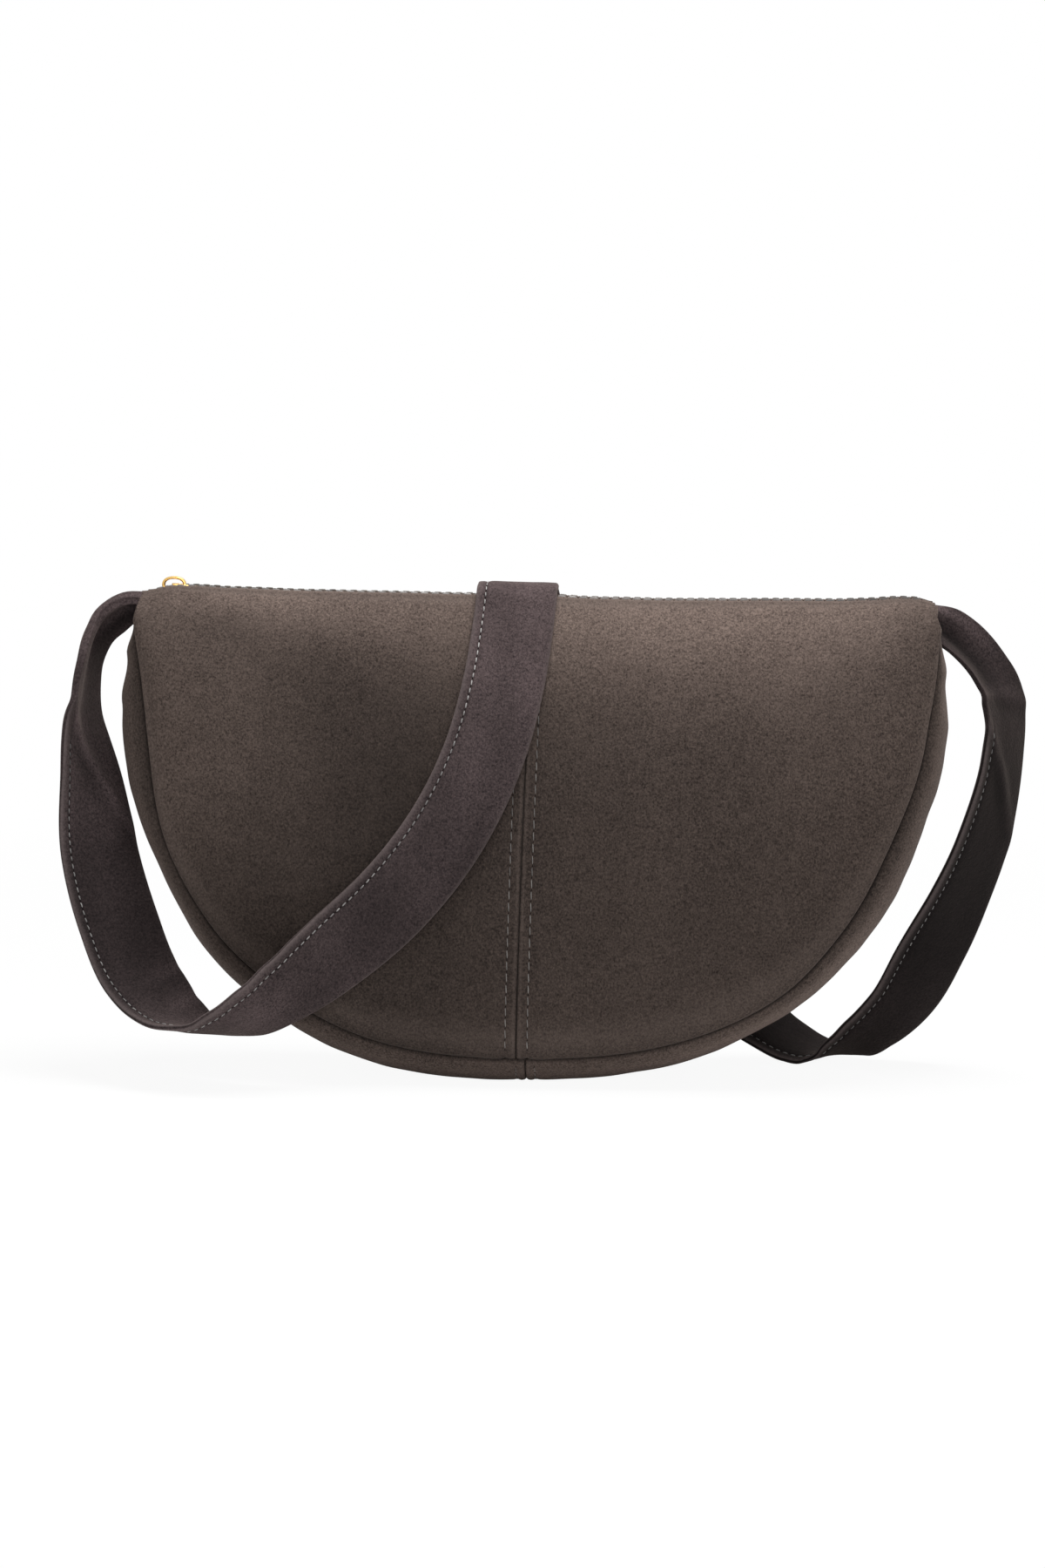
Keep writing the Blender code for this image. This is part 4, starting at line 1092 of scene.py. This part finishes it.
def sew(name, path, out, pitch, light=1.0, slot="body_suede", sewing=PLAIN_SEWING):
    """Cuts the path into stitches and adds the row's thread and its needle holes."""
    yarn, thread, hole = sewing
    length = lengths(path)[1]
    count = int(length[-1] / pitch)
    stops = (length[-1] - count * pitch) / 2 + np.arange(count + 1) * pitch
    stops += PITCH_VARIES * np.sin(np.arange(count + 1) * 2.4)
    holes, looks = read_columns(stops, length, path), unit(read_columns(stops, length, out))
    steps = np.diff(holes, axis=0)
    reach = np.linalg.norm(steps, axis=1) * thread[0]
    looking = unit(looks[1:] + looks[:-1])
    middles = (holes[1:] + holes[:-1]) / 2 + looking * STITCH_LIFT
    size = np.stack([reach, np.full(count, thread[1]), np.full(count, thread[2])], axis=-1)
    stitches = copies(
        f"{name}_stitches", STITCH, middles, unit(steps), looking, size, yarn, slot, STITCH_SLANT
    )
    light = np.interp((stops[1:] + stops[:-1]) / 2, length, np.broadcast_to(light, length.shape))
    every = np.arange(count)
    light = light * (1 + 0.16 * np.sin(every * 1.7) * np.sin(every * 0.61 + 1))
    paint(stitches, "light", np.repeat(light, len(STITCH[0])))
    along = unit(np.gradient(holes, axis=0))
    copies(f"{name}_holes", HOLE, holes, along, looks, (*hole, HOLE_DEPTH), needle_hole_shade, slot)


def panel_rows():
    for face, facing in FACES:
        rise = np.linspace(0.001, 0.995, 700)
        for half, side in HALVES:
            share = side * CENTRE_ROW / ((1 - rise) * SEAM_HALF_LENGTH + rise * TOP_HALF_WIDTH)
            path, out = panel_surface(share, rise, facing > 0)
            # Painted light on the centre rows: darker towards the top.
            sew(f"{face}_centre_{half}", path, out, SEAM_PITCH, 0.95 - 0.5 * rise)
        share = np.linspace(-0.975, 0.975, 900)
        turn = 0.62 - 0.20 * np.clip((share + 0.25) / 0.3, 0, 1)
        # Painted light on the hem's row: darker towards both ends, most on the right.
        light = 0.85 - 0.6 * np.clip((share - 0.1) / 0.8, 0, 1)
        light = light - 0.35 * np.clip((-0.3 - share) / 0.6, 0, 1)
        path, out = hem_surface(share, turn, facing > 0)
        sew(f"{face}_hem", path, out, HEM_PITCH, light, sewing=HEM_SEWING)


def gusset_rows():
    across = rolled(500) * 0.985
    for half, side in HALVES:
        share = np.full_like(across, BASE_SHARE + side * GUSSET_ROW / SEAM_HALF_LENGTH)
        # Painted light: the gusset's rows are twice as light as their thread.
        sew(f"gusset_{half}", *gusset_surface(share, across), SEAM_PITCH, 2.0)


# Painted light and shade on the strap's thread, by millimetres along the strap.
STRAP_LIGHT = (
    (0, 0.2), (80, 0.2), (115, 0.42), (140, 0.5), (237, 0.6), (300, 0.6), (345, 0.42), (385, 0.55),
    (430, 1.0), (480, 1.0), (560, 0.7), (700, 0.4), (760, 0.4), (850, 0.32), (982, 0.2),
)


def strap_rows():
    along = np.linspace(0.072, STRAP_LENGTH - 0.060, 4000)
    share = np.full_like(along, -1 + 2 * STRAP_ROW / STRAP_WIDTH)
    light = read_table(STRAP_LIGHT, along * 1000)
    for face, way in (("outer", 1.0), ("inner", -1.0)):
        side = np.full_like(along, way)
        path, out = strap_surface(along, share, side), strap_outward(along, share, side)
        sew(f"strap_{face}", path, out, STRAP_PITCH, light, "strap_suede", STRAP_SEWING)


panel_rows()
gusset_rows()
strap_rows()
sewn = [piece.data for piece in bpy.data.objects if piece.name.endswith("_stitches")]
print("rows:", len(sewn), "stitches:", sum(len(row.polygons) for row in sewn) // len(STITCH[1]))

# %% [markdown]
# ## The lining
#
# Inside, a thin cloth follows the leather. It can't be seen with the zip closed, but a scene may
# open the bag. The same grid of points is moved inwards, and gets small wrinkles, because a lining
# is always cut a little too large. Its upper edge runs in under the zip's tapes.

# %% Lining
LINING_TOP = CHAIN_HEIGHT - TAPE_THICKNESS / 2 - GAP
LINING_INSET = SUEDE + 2 * GAP


def cloth_piece(name, points, node, flip=False):
    faces = grid_faces(*points.shape[:2])
    piece = new_piece(name, points, faces[:, ::-1] if flip else faces, lining_cloth, "lining_cloth")
    across = np.linalg.norm(np.diff(points, axis=1), axis=-1)
    up = np.linalg.norm(np.diff(points, axis=0), axis=-1)
    across = np.cumsum(np.pad(across, ((0, 0), (1, 0))), axis=1)
    up = np.cumsum(np.pad(up, ((1, 0), (0, 0))), axis=0)
    lay_map(piece, np.stack([across, up], axis=-1))
    wall(piece, LINING)
    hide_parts(node)
    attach(piece, "bag")
    return piece


def lining_panel_points(back):
    rows = spaced([(0.02, 8), (0.14, 30), (0.90, 0)])
    share, row = np.meshgrid(np.linspace(-0.985, 0.985, 97), rows)
    low = panel_point(share, np.zeros_like(share))[..., 2]
    high = panel_point(share, np.ones_like(share))[..., 2]
    rise = row * np.minimum((LINING_TOP - 0.004 - low) / (high - low) / 0.90, 1.0)
    points = panel_point(share, rise)
    slack = 0.0004 * (1 + np.sin(share * 47 + rise * 21) * np.sin(rise * 37 - share * 9))
    points = points - grid_normals(points) * (LINING_INSET + slack + 0.0011)[..., None]
    flange = panel_point(share[-1:], np.ones_like(share[-1:]))
    flange[..., 1], flange[..., 2] = -TAPE_OUTER, LINING_TOP
    return mirrored(np.concatenate([points, flange]), back)


linings = [
    cloth_piece("lining_cloth_front", lining_panel_points(False), "lining_front"),
    cloth_piece("lining_cloth_back", lining_panel_points(True), "lining_back", flip=True),
]
share, across = np.meshgrid(np.linspace(-0.985, 0.985, 161), rolled(25) * 0.93)
slack = 0.0006 + 0.0003 * np.sin(share * 90 + across * 3)
band = gusset_point(share, across)
band = band + grid_normals(band) * (LINING_INSET + GAP + slack)[..., None]
linings.append(cloth_piece("lining_cloth_gusset", band, "lining_gusset", flip=True))
print("lining areas:", [round(half_area(piece), 4) for piece in linings])

# %% [markdown]
# ## The slip pocket
#
# A flat pocket is sewn to the back lining along its sides and its bottom. It is cut square, while
# the panel is curved, so each of its points first has to be found on the panel: the loop below
# steps share and rise until the panel's point has the wanted x and height. A folded hem runs along
# the open edge.

# %% Pocket
POCKET_HALF_WIDTH, POCKET_BOTTOM, POCKET_TOP = 0.062, 0.085, 0.165
POCKET_INSET, POCKET_HEM, POCKET_SLACK = 0.0050, 0.011, 0.0008


def back_point_at(x, height, inward):
    """Points inside the back panel, found by their place as seen from the front."""
    share, rise = np.zeros_like(x), np.full_like(x, 0.5)
    for _ in range(60):
        point = panel_point(share, rise)
        rise = np.clip(rise + 3 * (height - point[..., 2]), 0, 1)
        share = np.clip(share + 3 * (x - point[..., 0]), -1, 1)
    return panel_point(share, rise) * (1, -1, 1) - np.stack([0 * x, inward, 0 * x], axis=-1)


across = np.linspace(-POCKET_HALF_WIDTH, POCKET_HALF_WIDTH, 63)
x, height = np.meshgrid(across, np.linspace(POCKET_BOTTOM, POCKET_TOP, 61))
hem = np.clip((height - POCKET_TOP + POCKET_HEM) / 0.001, 0, 1)
loose = POCKET_SLACK * (1 + np.sin(x * 95 + 1.0)) * np.clip((height - POCKET_BOTTOM) / 0.07, 0, 1)
inward = POCKET_INSET + 0.0003 * hem + loose * (1 - (x / POCKET_HALF_WIDTH) ** 4)
points = back_point_at(x, height, inward)
pocket = cloth_piece("pocket_cloth", points, "inner_slip_pocket", flip=True)
side, low = POCKET_HALF_WIDTH - POCKET_ROW, POCKET_BOTTOM + POCKET_ROW
down, over = np.linspace(POCKET_TOP - 0.002, low, 60), np.linspace(-side, side, 90)[1:-1]
row_x = np.concatenate([np.full_like(down, -side), over, np.full_like(down, side)])
row_height = np.concatenate([down, np.full_like(over, low), down[::-1]])
row = back_point_at(row_x, row_height, np.full_like(row_x, POCKET_INSET + LINING + 0.0001))
sew("pocket", row, np.tile([0.0, -1.0, 0.0], (len(row), 1)), POCKET_PITCH, slot="lining_cloth")
print("pocket area:", round(half_area(pocket), 4))

# %% [markdown]
# ## Studio
#
# The bag stands on a plain white floor under soft light: a wide lamp above it and a weaker one in
# front of it. The camera sees white behind the bag, through the Light Path node, while the leather
# is lit at a plain level. The floor glows for the camera and keeps only a little of the shadow.

# %% Floor, world and lamps
WHITE = (1, 1, 1, 1)


def mix_shaders(tree, share, first, second, last):
    """Mixes two shaders by a share and sends the result to the last node."""
    mix = tree.nodes.new("ShaderNodeMixShader")
    for socket, source in zip(mix.inputs, (share, first, second)):
        tree.links.new(source, socket)
    tree.links.new(mix.outputs[0], tree.nodes[last].inputs[0])


def add_floor():
    bpy.ops.object.select_all(action="DESELECT")
    bpy.ops.mesh.primitive_circle_add(vertices=96, radius=6, fill_type="NGON", location=(0, 0, 0))
    floor = bpy.context.active_object
    floor.name = "floor"
    grey = (0.86, 0.86, 0.86, 1)
    finish = Finish("studio_floor", Roughness=0.9, Specular_IOR_Level=0.1, Base_Color=grey)
    seen = finish.node("ShaderNodeLightPath", output="Is Camera Ray")
    glow = finish.node("ShaderNodeEmission", {}, {"Color": WHITE, "Strength": 1.0})
    length = {"operation": "LENGTH"}
    from_middle = finish.node("ShaderNodeVectorMath", length, {0: finish.place()}, output=1)
    share = seen * (0.93 + 0.07 * from_middle.spread(0.35, 1.1))
    mix_shaders(
        finish.tree, share.socket, finish.shader.outputs[0], glow.socket, "Material Output"
    )
    floor.data.materials.append(finish.material)


def light_world(level):
    world = bpy.data.worlds.new("studio")
    bpy.context.scene.world = world
    world.use_nodes = True
    tree = world.node_tree
    plain = tree.nodes["Background"]
    plain.inputs["Strength"].default_value = level
    white = tree.nodes.new("ShaderNodeBackground")
    for background in (plain, white):
        background.inputs["Color"].default_value = WHITE
    rays = tree.nodes.new("ShaderNodeLightPath")
    seen = rays.outputs["Is Camera Ray"]
    for output in ("Is Glossy Ray", "Is Transmission Ray"):
        larger = tree.nodes.new("ShaderNodeMath")
        larger.operation = "MAXIMUM"
        tree.links.new(seen, larger.inputs[0])
        tree.links.new(rays.outputs[output], larger.inputs[1])
        seen = larger.outputs[0]
    mix_shaders(tree, seen, plain.outputs[0], white.outputs[0], "World Output")


def add_lamp(name, place, size, level):
    """A soft round lamp that looks at the bag. Level 1 alone lights a face that it faces fully."""
    target = Vector((0, 0, 0.12))
    lamp = bpy.data.lights.new(name, "AREA")
    lamp.shape, lamp.size = "DISK", size
    reach = Vector(place) - target
    lamp.energy = level * math.pi**2 * reach.length_squared
    rig = bpy.data.objects.new(name, lamp)
    bpy.context.scene.collection.objects.link(rig)
    rig.location = place
    rig.rotation_euler = reach.to_track_quat("Z", "Y").to_euler()


add_floor()
light_world(0.27)
add_lamp("lamp_above", (0.22, -0.12, 1.55), 0.9, 1.35)
add_lamp("lamp_front", (0.15, -1.7, 0.55), 0.7, 0.26)
print("lamps:", len(bpy.data.lights))

# %% [markdown]
# ## The zip's tapes
#
# Each side of a zip is a woven tape with a cord along its inner edge, and metal teeth pressed on
# that cord. The tape is cut 10 mm wide, but the outer 4 mm are inside the seam, so only 6 mm are
# modelled. Its outline across is swept along the bag as a closed tube, like the strap's.

# %% Tapes
SLIDER_X, SLIDER_LENGTH, POST_LENGTH = -0.1536, 0.0115, 0.0030
TOOTH_PITCH, TOOTH_WIDTH, TOOTH_TIP_WIDTH = 0.003, 0.0014, 0.0011
TOOTH_REACH, TOOTH_ROOT, TOOTH_THICKNESS, CHAIN_END = 0.0008, 0.0016, 0.0029, 0.1500
CORD_Y, CORD_RADIUS, PRONG_START, PRONG_LENGTH = 0.00235, 0.00052, 0.00058, 0.0014


def tape_section():
    """The tape's outline across: a thin strip whose inner edge is wrapped round a cord."""
    half, join = TAPE_THICKNESS / 2, math.radians(36)
    cord = arc(CORD_Y, 0, CORD_RADIUS, CORD_RADIUS, join, 2 * math.pi - join, 15)
    flat = np.linspace(TAPE_OUTER, CORD_Y + 0.0010, 7)
    upper, lower = [(y, half) for y in flat], [(y, -half) for y in flat[::-1]]
    return np.array(upper + cord + lower)


def make_tape(name, side, node):
    section = tape_section()
    x = np.linspace(-TAPE_HALF_LENGTH, TAPE_HALF_LENGTH, 260)
    x, y = np.meshgrid(x, section[:, 0], indexing="ij")
    z = CHAIN_HEIGHT + np.broadcast_to(section[:, 1], x.shape)
    points = np.stack([x, side * y, z], axis=-1)
    faces = [face[::side] for face in tube_faces(*x.shape)]
    piece = new_piece(name, points, faces, tape_cloth, "tape_cloth")
    lay_map(piece, np.stack([x, np.broadcast_to(section.sum(1), x.shape)], axis=-1))
    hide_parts(node)
    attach(piece, "bag")
    return piece


tapes = [make_tape(f"tape_cloth_{face}", side, f"zipper_tape_{face}") for face, side in FACES]
print("tape area:", [round(half_area(piece), 5) for piece in tapes])

# %% [markdown]
# ## Teeth and stops
#
# A tooth has a head that meets the other row and two prongs that clamp the cord. One tooth is
# modelled from a block: it is cut in three by bisect, its outer thirds are extruded into prongs,
# and the edges are bevelled. Copies of it stand three millimetres apart, and the two rows are
# half a step out of line, as in the CAD model. The three stops keep their CAD shape.

# %% Teeth
def model_tooth():
    """One tooth of the back row: its head points to -Y, its prongs to +Y."""
    tooth = begin(bpy.ops.mesh.primitive_cube_add, size=1)
    depth = TOOTH_ROOT + TOOTH_REACH - 0.0001
    size = (TOOTH_WIDTH, depth, TOOTH_THICKNESS)
    bpy.ops.transform.resize(value=size, center_override=(0, 0, 0))
    bpy.ops.transform.translate(value=(0, depth / 2 - TOOTH_REACH, 0))
    for level in (-PRONG_START, PRONG_START):
        bpy.ops.mesh.select_all(action="SELECT")
        bpy.ops.mesh.bisect(plane_co=(0, 0, level), plane_no=(0, 0, 1))
    bpy.ops.mesh.select_all(action="DESELECT")
    bpy.ops.object.mode_set(mode="OBJECT")
    for face in tooth.data.polygons:
        face.select = face.normal.y > 0.9 and abs(face.center.z) > PRONG_START
    bpy.ops.object.mode_set(mode="EDIT")
    bpy.ops.mesh.select_mode(type="FACE")
    bpy.ops.mesh.extrude_region_move(TRANSFORM_OT_translate={"value": (0, PRONG_LENGTH, 0)})
    bpy.ops.mesh.select_mode(type="VERT")
    select_where(tooth, lambda co: co.y < -TOOTH_REACH + 0.0001)
    narrower = (TOOTH_TIP_WIDTH / TOOTH_WIDTH, 1, 0.86)
    bpy.ops.transform.resize(value=narrower, center_override=(0, 0, 0))
    bpy.ops.object.mode_set(mode="OBJECT")
    rounding = tooth.modifiers.new("rounding", "BEVEL")
    rounding.width, rounding.segments, rounding.limit_method = 0.00014, 1, "ANGLE"
    bpy.ops.object.modifier_apply(modifier="rounding")
    return read_points(tooth)


def make_teeth(name, side, tooth, node):
    points, faces = tooth
    start = SLIDER_X - SLIDER_LENGTH / 2 + POST_LENGTH + TOOTH_PITCH
    start += TOOTH_PITCH / 2 if side > 0 else 0
    middles = start + np.arange(int((CHAIN_END - start) / TOOTH_PITCH) + 1) * TOOTH_PITCH
    placed = np.repeat(points[None] * (1, side, 1), len(middles), axis=0)
    placed += np.stack([middles, 0 * middles, 0 * middles + CHAIN_HEIGHT], axis=-1)[:, None]
    every = repeated([face[::side] for face in faces], len(points), len(middles))
    piece = new_piece(name, placed, every, gold_metal, "gold_metal")
    piece.data.shade_flat()
    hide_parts(node)
    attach(piece, "bag")
    return len(middles)


tooth = model_tooth()
teeth = [make_teeth(f"teeth_{face}", side, tooth, f"zipper_teeth_{face}") for face, side in FACES]
for node in ("top_stop_front", "top_stop_back", "bottom_stop"):
    for material_slot in frame["nodes"][node].material_slots:
        material_slot.material = gold_metal
print("teeth:", teeth, "faces in each:", len(tooth[1]))

# %% [markdown]
# ## Flat parts from outlines
#
# A slider is two plates joined by a wedge, with side walls that press the teeth together. A flat
# ring on the upper plate, the bail, holds the tab. All of these are flat parts, so each is drawn as
# an outline: a filled curve gets its thickness from extrude and its round edges from bevel. It is
# made a mesh before it is turned and put in its place.

# %% Flat parts from outlines
SLIDER_HALF_WIDTH, SLIDER_TAIL_HALF_WIDTH, PLATE_THICKNESS = 0.0052, 0.0044, 0.0012
SLIDER_CLEARANCE, BAIL_HALF_LENGTH, BAIL_HALF_HEIGHT = 0.00035, 0.0051, 0.0037
BAIL_THICKNESS, BAIL_WIDTH, BAIL_ROUNDNESS = 0.0012, 0.0030, 2.3
ROUNDING, WALL_ROUNDING, BAIL_ROUNDING = 0.00035, 0.00012, 0.0004
INNER_HEIGHT = TOOTH_THICKNESS / 2 + SLIDER_CLEARANCE
TAB_AXIS = (SLIDER_X, 0.0, CHAIN_HEIGHT + INNER_HEIGHT + PLATE_THICKNESS + 0.0030)
TAB_THICKNESS, TAB_LENGTH, TAB_DROOP = 0.0015, 0.029, math.radians(6.5)


def flat_part(name, outlines, thickness, rounding, place, turn=None):
    """A plate with round edges. Outer outlines are drawn smaller by the rounding, holes larger."""
    curve = bpy.data.curves.new(name, "CURVE")
    curve.dimensions, curve.fill_mode = "2D", "BOTH"
    curve.extrude, curve.bevel_depth, curve.bevel_resolution = thickness / 2 - rounding, rounding, 2
    for outline in outlines:
        spline = curve.splines.new("POLY")
        spline.points.add(len(outline) - 1)
        for point, (x, y) in zip(spline.points, outline):
            point.co = (x, y, 0, 1)
        spline.use_cyclic_u = True
    piece = bpy.data.objects.new(name, curve)
    bpy.context.scene.collection.objects.link(piece)
    only(piece)
    bpy.ops.object.convert(target="MESH")
    piece = bpy.context.active_object
    bpy.ops.object.mode_set(mode="EDIT")
    bpy.ops.mesh.select_all(action="SELECT")
    bpy.ops.mesh.remove_doubles(threshold=0.000005)
    bpy.ops.mesh.normals_make_consistent(inside=False)
    bpy.ops.object.mode_set(mode="OBJECT")
    piece.data.transform(Matrix.Translation(place) @ (turn or Matrix.Identity(4)))
    return piece


def oval(half_length, half_height, power, count):
    turns = np.linspace(0, 2 * math.pi, count, endpoint=False)
    x, y = np.cos(turns), np.sin(turns)
    x, y = np.sign(x) * np.abs(x) ** (2 / power), np.sign(y) * np.abs(y) ** (2 / power)
    return list(zip((half_length * x).tolist(), (half_height * y).tolist()))


def both_sides(upper):
    """A whole outline from its upper half. A point on the axis isn't doubled."""
    return upper + [(x, -y) for x, y in reversed(upper) if y]


def finish_metal(piece, body, node):
    piece.data.materials.clear()
    piece.data.materials.append(gold_metal)
    only(piece)
    bpy.ops.object.shade_smooth_by_angle(angle=math.radians(40))
    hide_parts(node)
    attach(piece, body)
    return piece


print("tab axis:", [round(c * 1000, 2) for c in TAB_AXIS], "mm")

# %% [markdown]
# ## The slider
#
# The plates, the wedge, the four walls and the bail are joined into one piece. The bail is drawn
# round the tab's axis, so that the tab can swing through its whole half turn without touching it.

# %% Slider
def plate_outline(shrink):
    """The slider's plan, wide at the nose, where the two rows of teeth come in."""
    nose, tail = -SLIDER_LENGTH / 2 + shrink, SLIDER_LENGTH / 2 - shrink
    wide, narrow = SLIDER_HALF_WIDTH - shrink, SLIDER_TAIL_HALF_WIDTH - shrink
    corner, shoulder_length, shoulder_width = 0.0016, 0.0022, 0.0024
    side, quarter = math.pi / 2, 1.57
    upper = arc(tail - corner, narrow - corner, corner, corner, 0, quarter, 6)
    upper += [(nose + 0.0042, wide)]
    shoulder = (nose + shoulder_length, wide - shoulder_width, shoulder_length, shoulder_width)
    upper += arc(*shoulder, side, side + quarter, 7)
    return both_sides(upper + [(nose + 0.0004, 0.0012), (nose + 0.0009, 0.0003)])


def slider_plates(middle):
    return [
        flat_part(f"slider_{name}", [plate_outline(ROUNDING)], PLATE_THICKNESS, ROUNDING,
                  (SLIDER_X, 0, CHAIN_HEIGHT + level * middle))
        for name, level in (("upper", 1), ("lower", -1))
    ]


def slider_wedge(middle):
    radius, opening = 0.0011, 1.2
    wedge = arc(-0.0001, 0, radius, radius, opening, 2 * math.pi - opening, 13)
    place = (SLIDER_X - SLIDER_LENGTH / 2 + POST_LENGTH / 2 + 0.0003, 0, CHAIN_HEIGHT)
    return flat_part("slider_wedge", [wedge + [(radius, 0.0)]], 2 * middle, 0.00005, place)


def slider_walls(middle):
    slit = TAPE_THICKNESS / 2 + SLIDER_CLEARANCE
    inner = CHAIN_HALF_WIDTH + SLIDER_CLEARANCE
    width, height = SLIDER_TAIL_HALF_WIDTH - inner, middle - slit
    outline = oval((SLIDER_LENGTH - 0.0060) / 2, width / 2 - WALL_ROUNDING, 5, 24)
    for side in (-1, 1):
        for level in (-1, 1):
            y, z = side * (inner + width / 2), CHAIN_HEIGHT + level * (slit + height / 2)
            name, place = f"slider_wall_{side}_{level}", (SLIDER_X + 0.0012, y, z)
            yield flat_part(name, [outline], height, WALL_ROUNDING, place)


def slider_bail():
    rings = [
        oval(BAIL_HALF_LENGTH - shrink, BAIL_HALF_HEIGHT - shrink, BAIL_ROUNDNESS, 64)
        for shrink in (BAIL_ROUNDING, BAIL_THICKNESS - BAIL_ROUNDING)
    ]
    upright = Matrix.Rotation(math.pi / 2, 4, "X")
    return flat_part("slider_bail", rings, BAIL_WIDTH, BAIL_ROUNDING, TAB_AXIS, upright)


def make_slider():
    middle = INNER_HEIGHT + PLATE_THICKNESS / 2
    parts = [*slider_plates(middle), slider_wedge(middle), *slider_walls(middle), slider_bail()]
    only(parts[0])
    for part in parts[1:]:
        part.select_set(True)
    bpy.ops.object.join()
    parts[0].name = parts[0].data.name = "slider_metal"
    return finish_metal(parts[0], "slider", "slider_body")


slider = make_slider()
print("slider faces:", len(slider.data.polygons))

# %% [markdown]
# ## The pull tab
#
# The tab is an eye, a neck and a round paddle. It hangs in the bail by the slot in its eye, and
# droops a little, so that its end rests on the zip.

# %% Pull tab
def tab_outline(shrink):
    """A plain pull: an eye at one end, a neck, and a rounded paddle."""
    bar, eye, neck, paddle = 0.0008 - shrink, 0.0036 - shrink, 0.0022 - shrink, 0.0038 - shrink
    middle = TAB_LENGTH - 0.0038
    upper = [
        (-bar, 0.0020), (-bar * 0.6, eye - 0.0005), (0.0002, eye), (0.0048, eye),
        (0.0060, eye - 0.0006), (0.0072, neck + 0.0001), (0.0100, neck * 0.95),
        (0.0122, neck * 0.97), (0.0160, neck * 1.10),
    ]
    return both_sides(upper + arc(middle, 0, paddle, paddle, 1.92, 0, 16))


def tab_slot(grow):
    """The slot in the eye that the bail runs through."""
    wide = BAIL_WIDTH / 2 + 0.0006 + grow
    start, end, corner = 0.0008 - grow, 0.0058 + grow, 0.0008
    half = [(start, wide), (end - corner, wide), (end - 0.0002, wide - 0.0002)]
    return both_sides(half + [(end, wide - corner)])


droop = Matrix.Rotation(TAB_DROOP, 4, "Y")
outlines = [tab_outline(ROUNDING), tab_slot(0.00020)]
pull_tab = flat_part("pull_tab_metal", outlines, TAB_THICKNESS, ROUNDING, TAB_AXIS, droop)
pull_tab = finish_metal(pull_tab, "tab", "pull_tab")
print("tab faces:", len(pull_tab.data.polygons))
print("tab size:", np.round(np.ptp(np.array(pull_tab.bound_box), axis=0), 4))
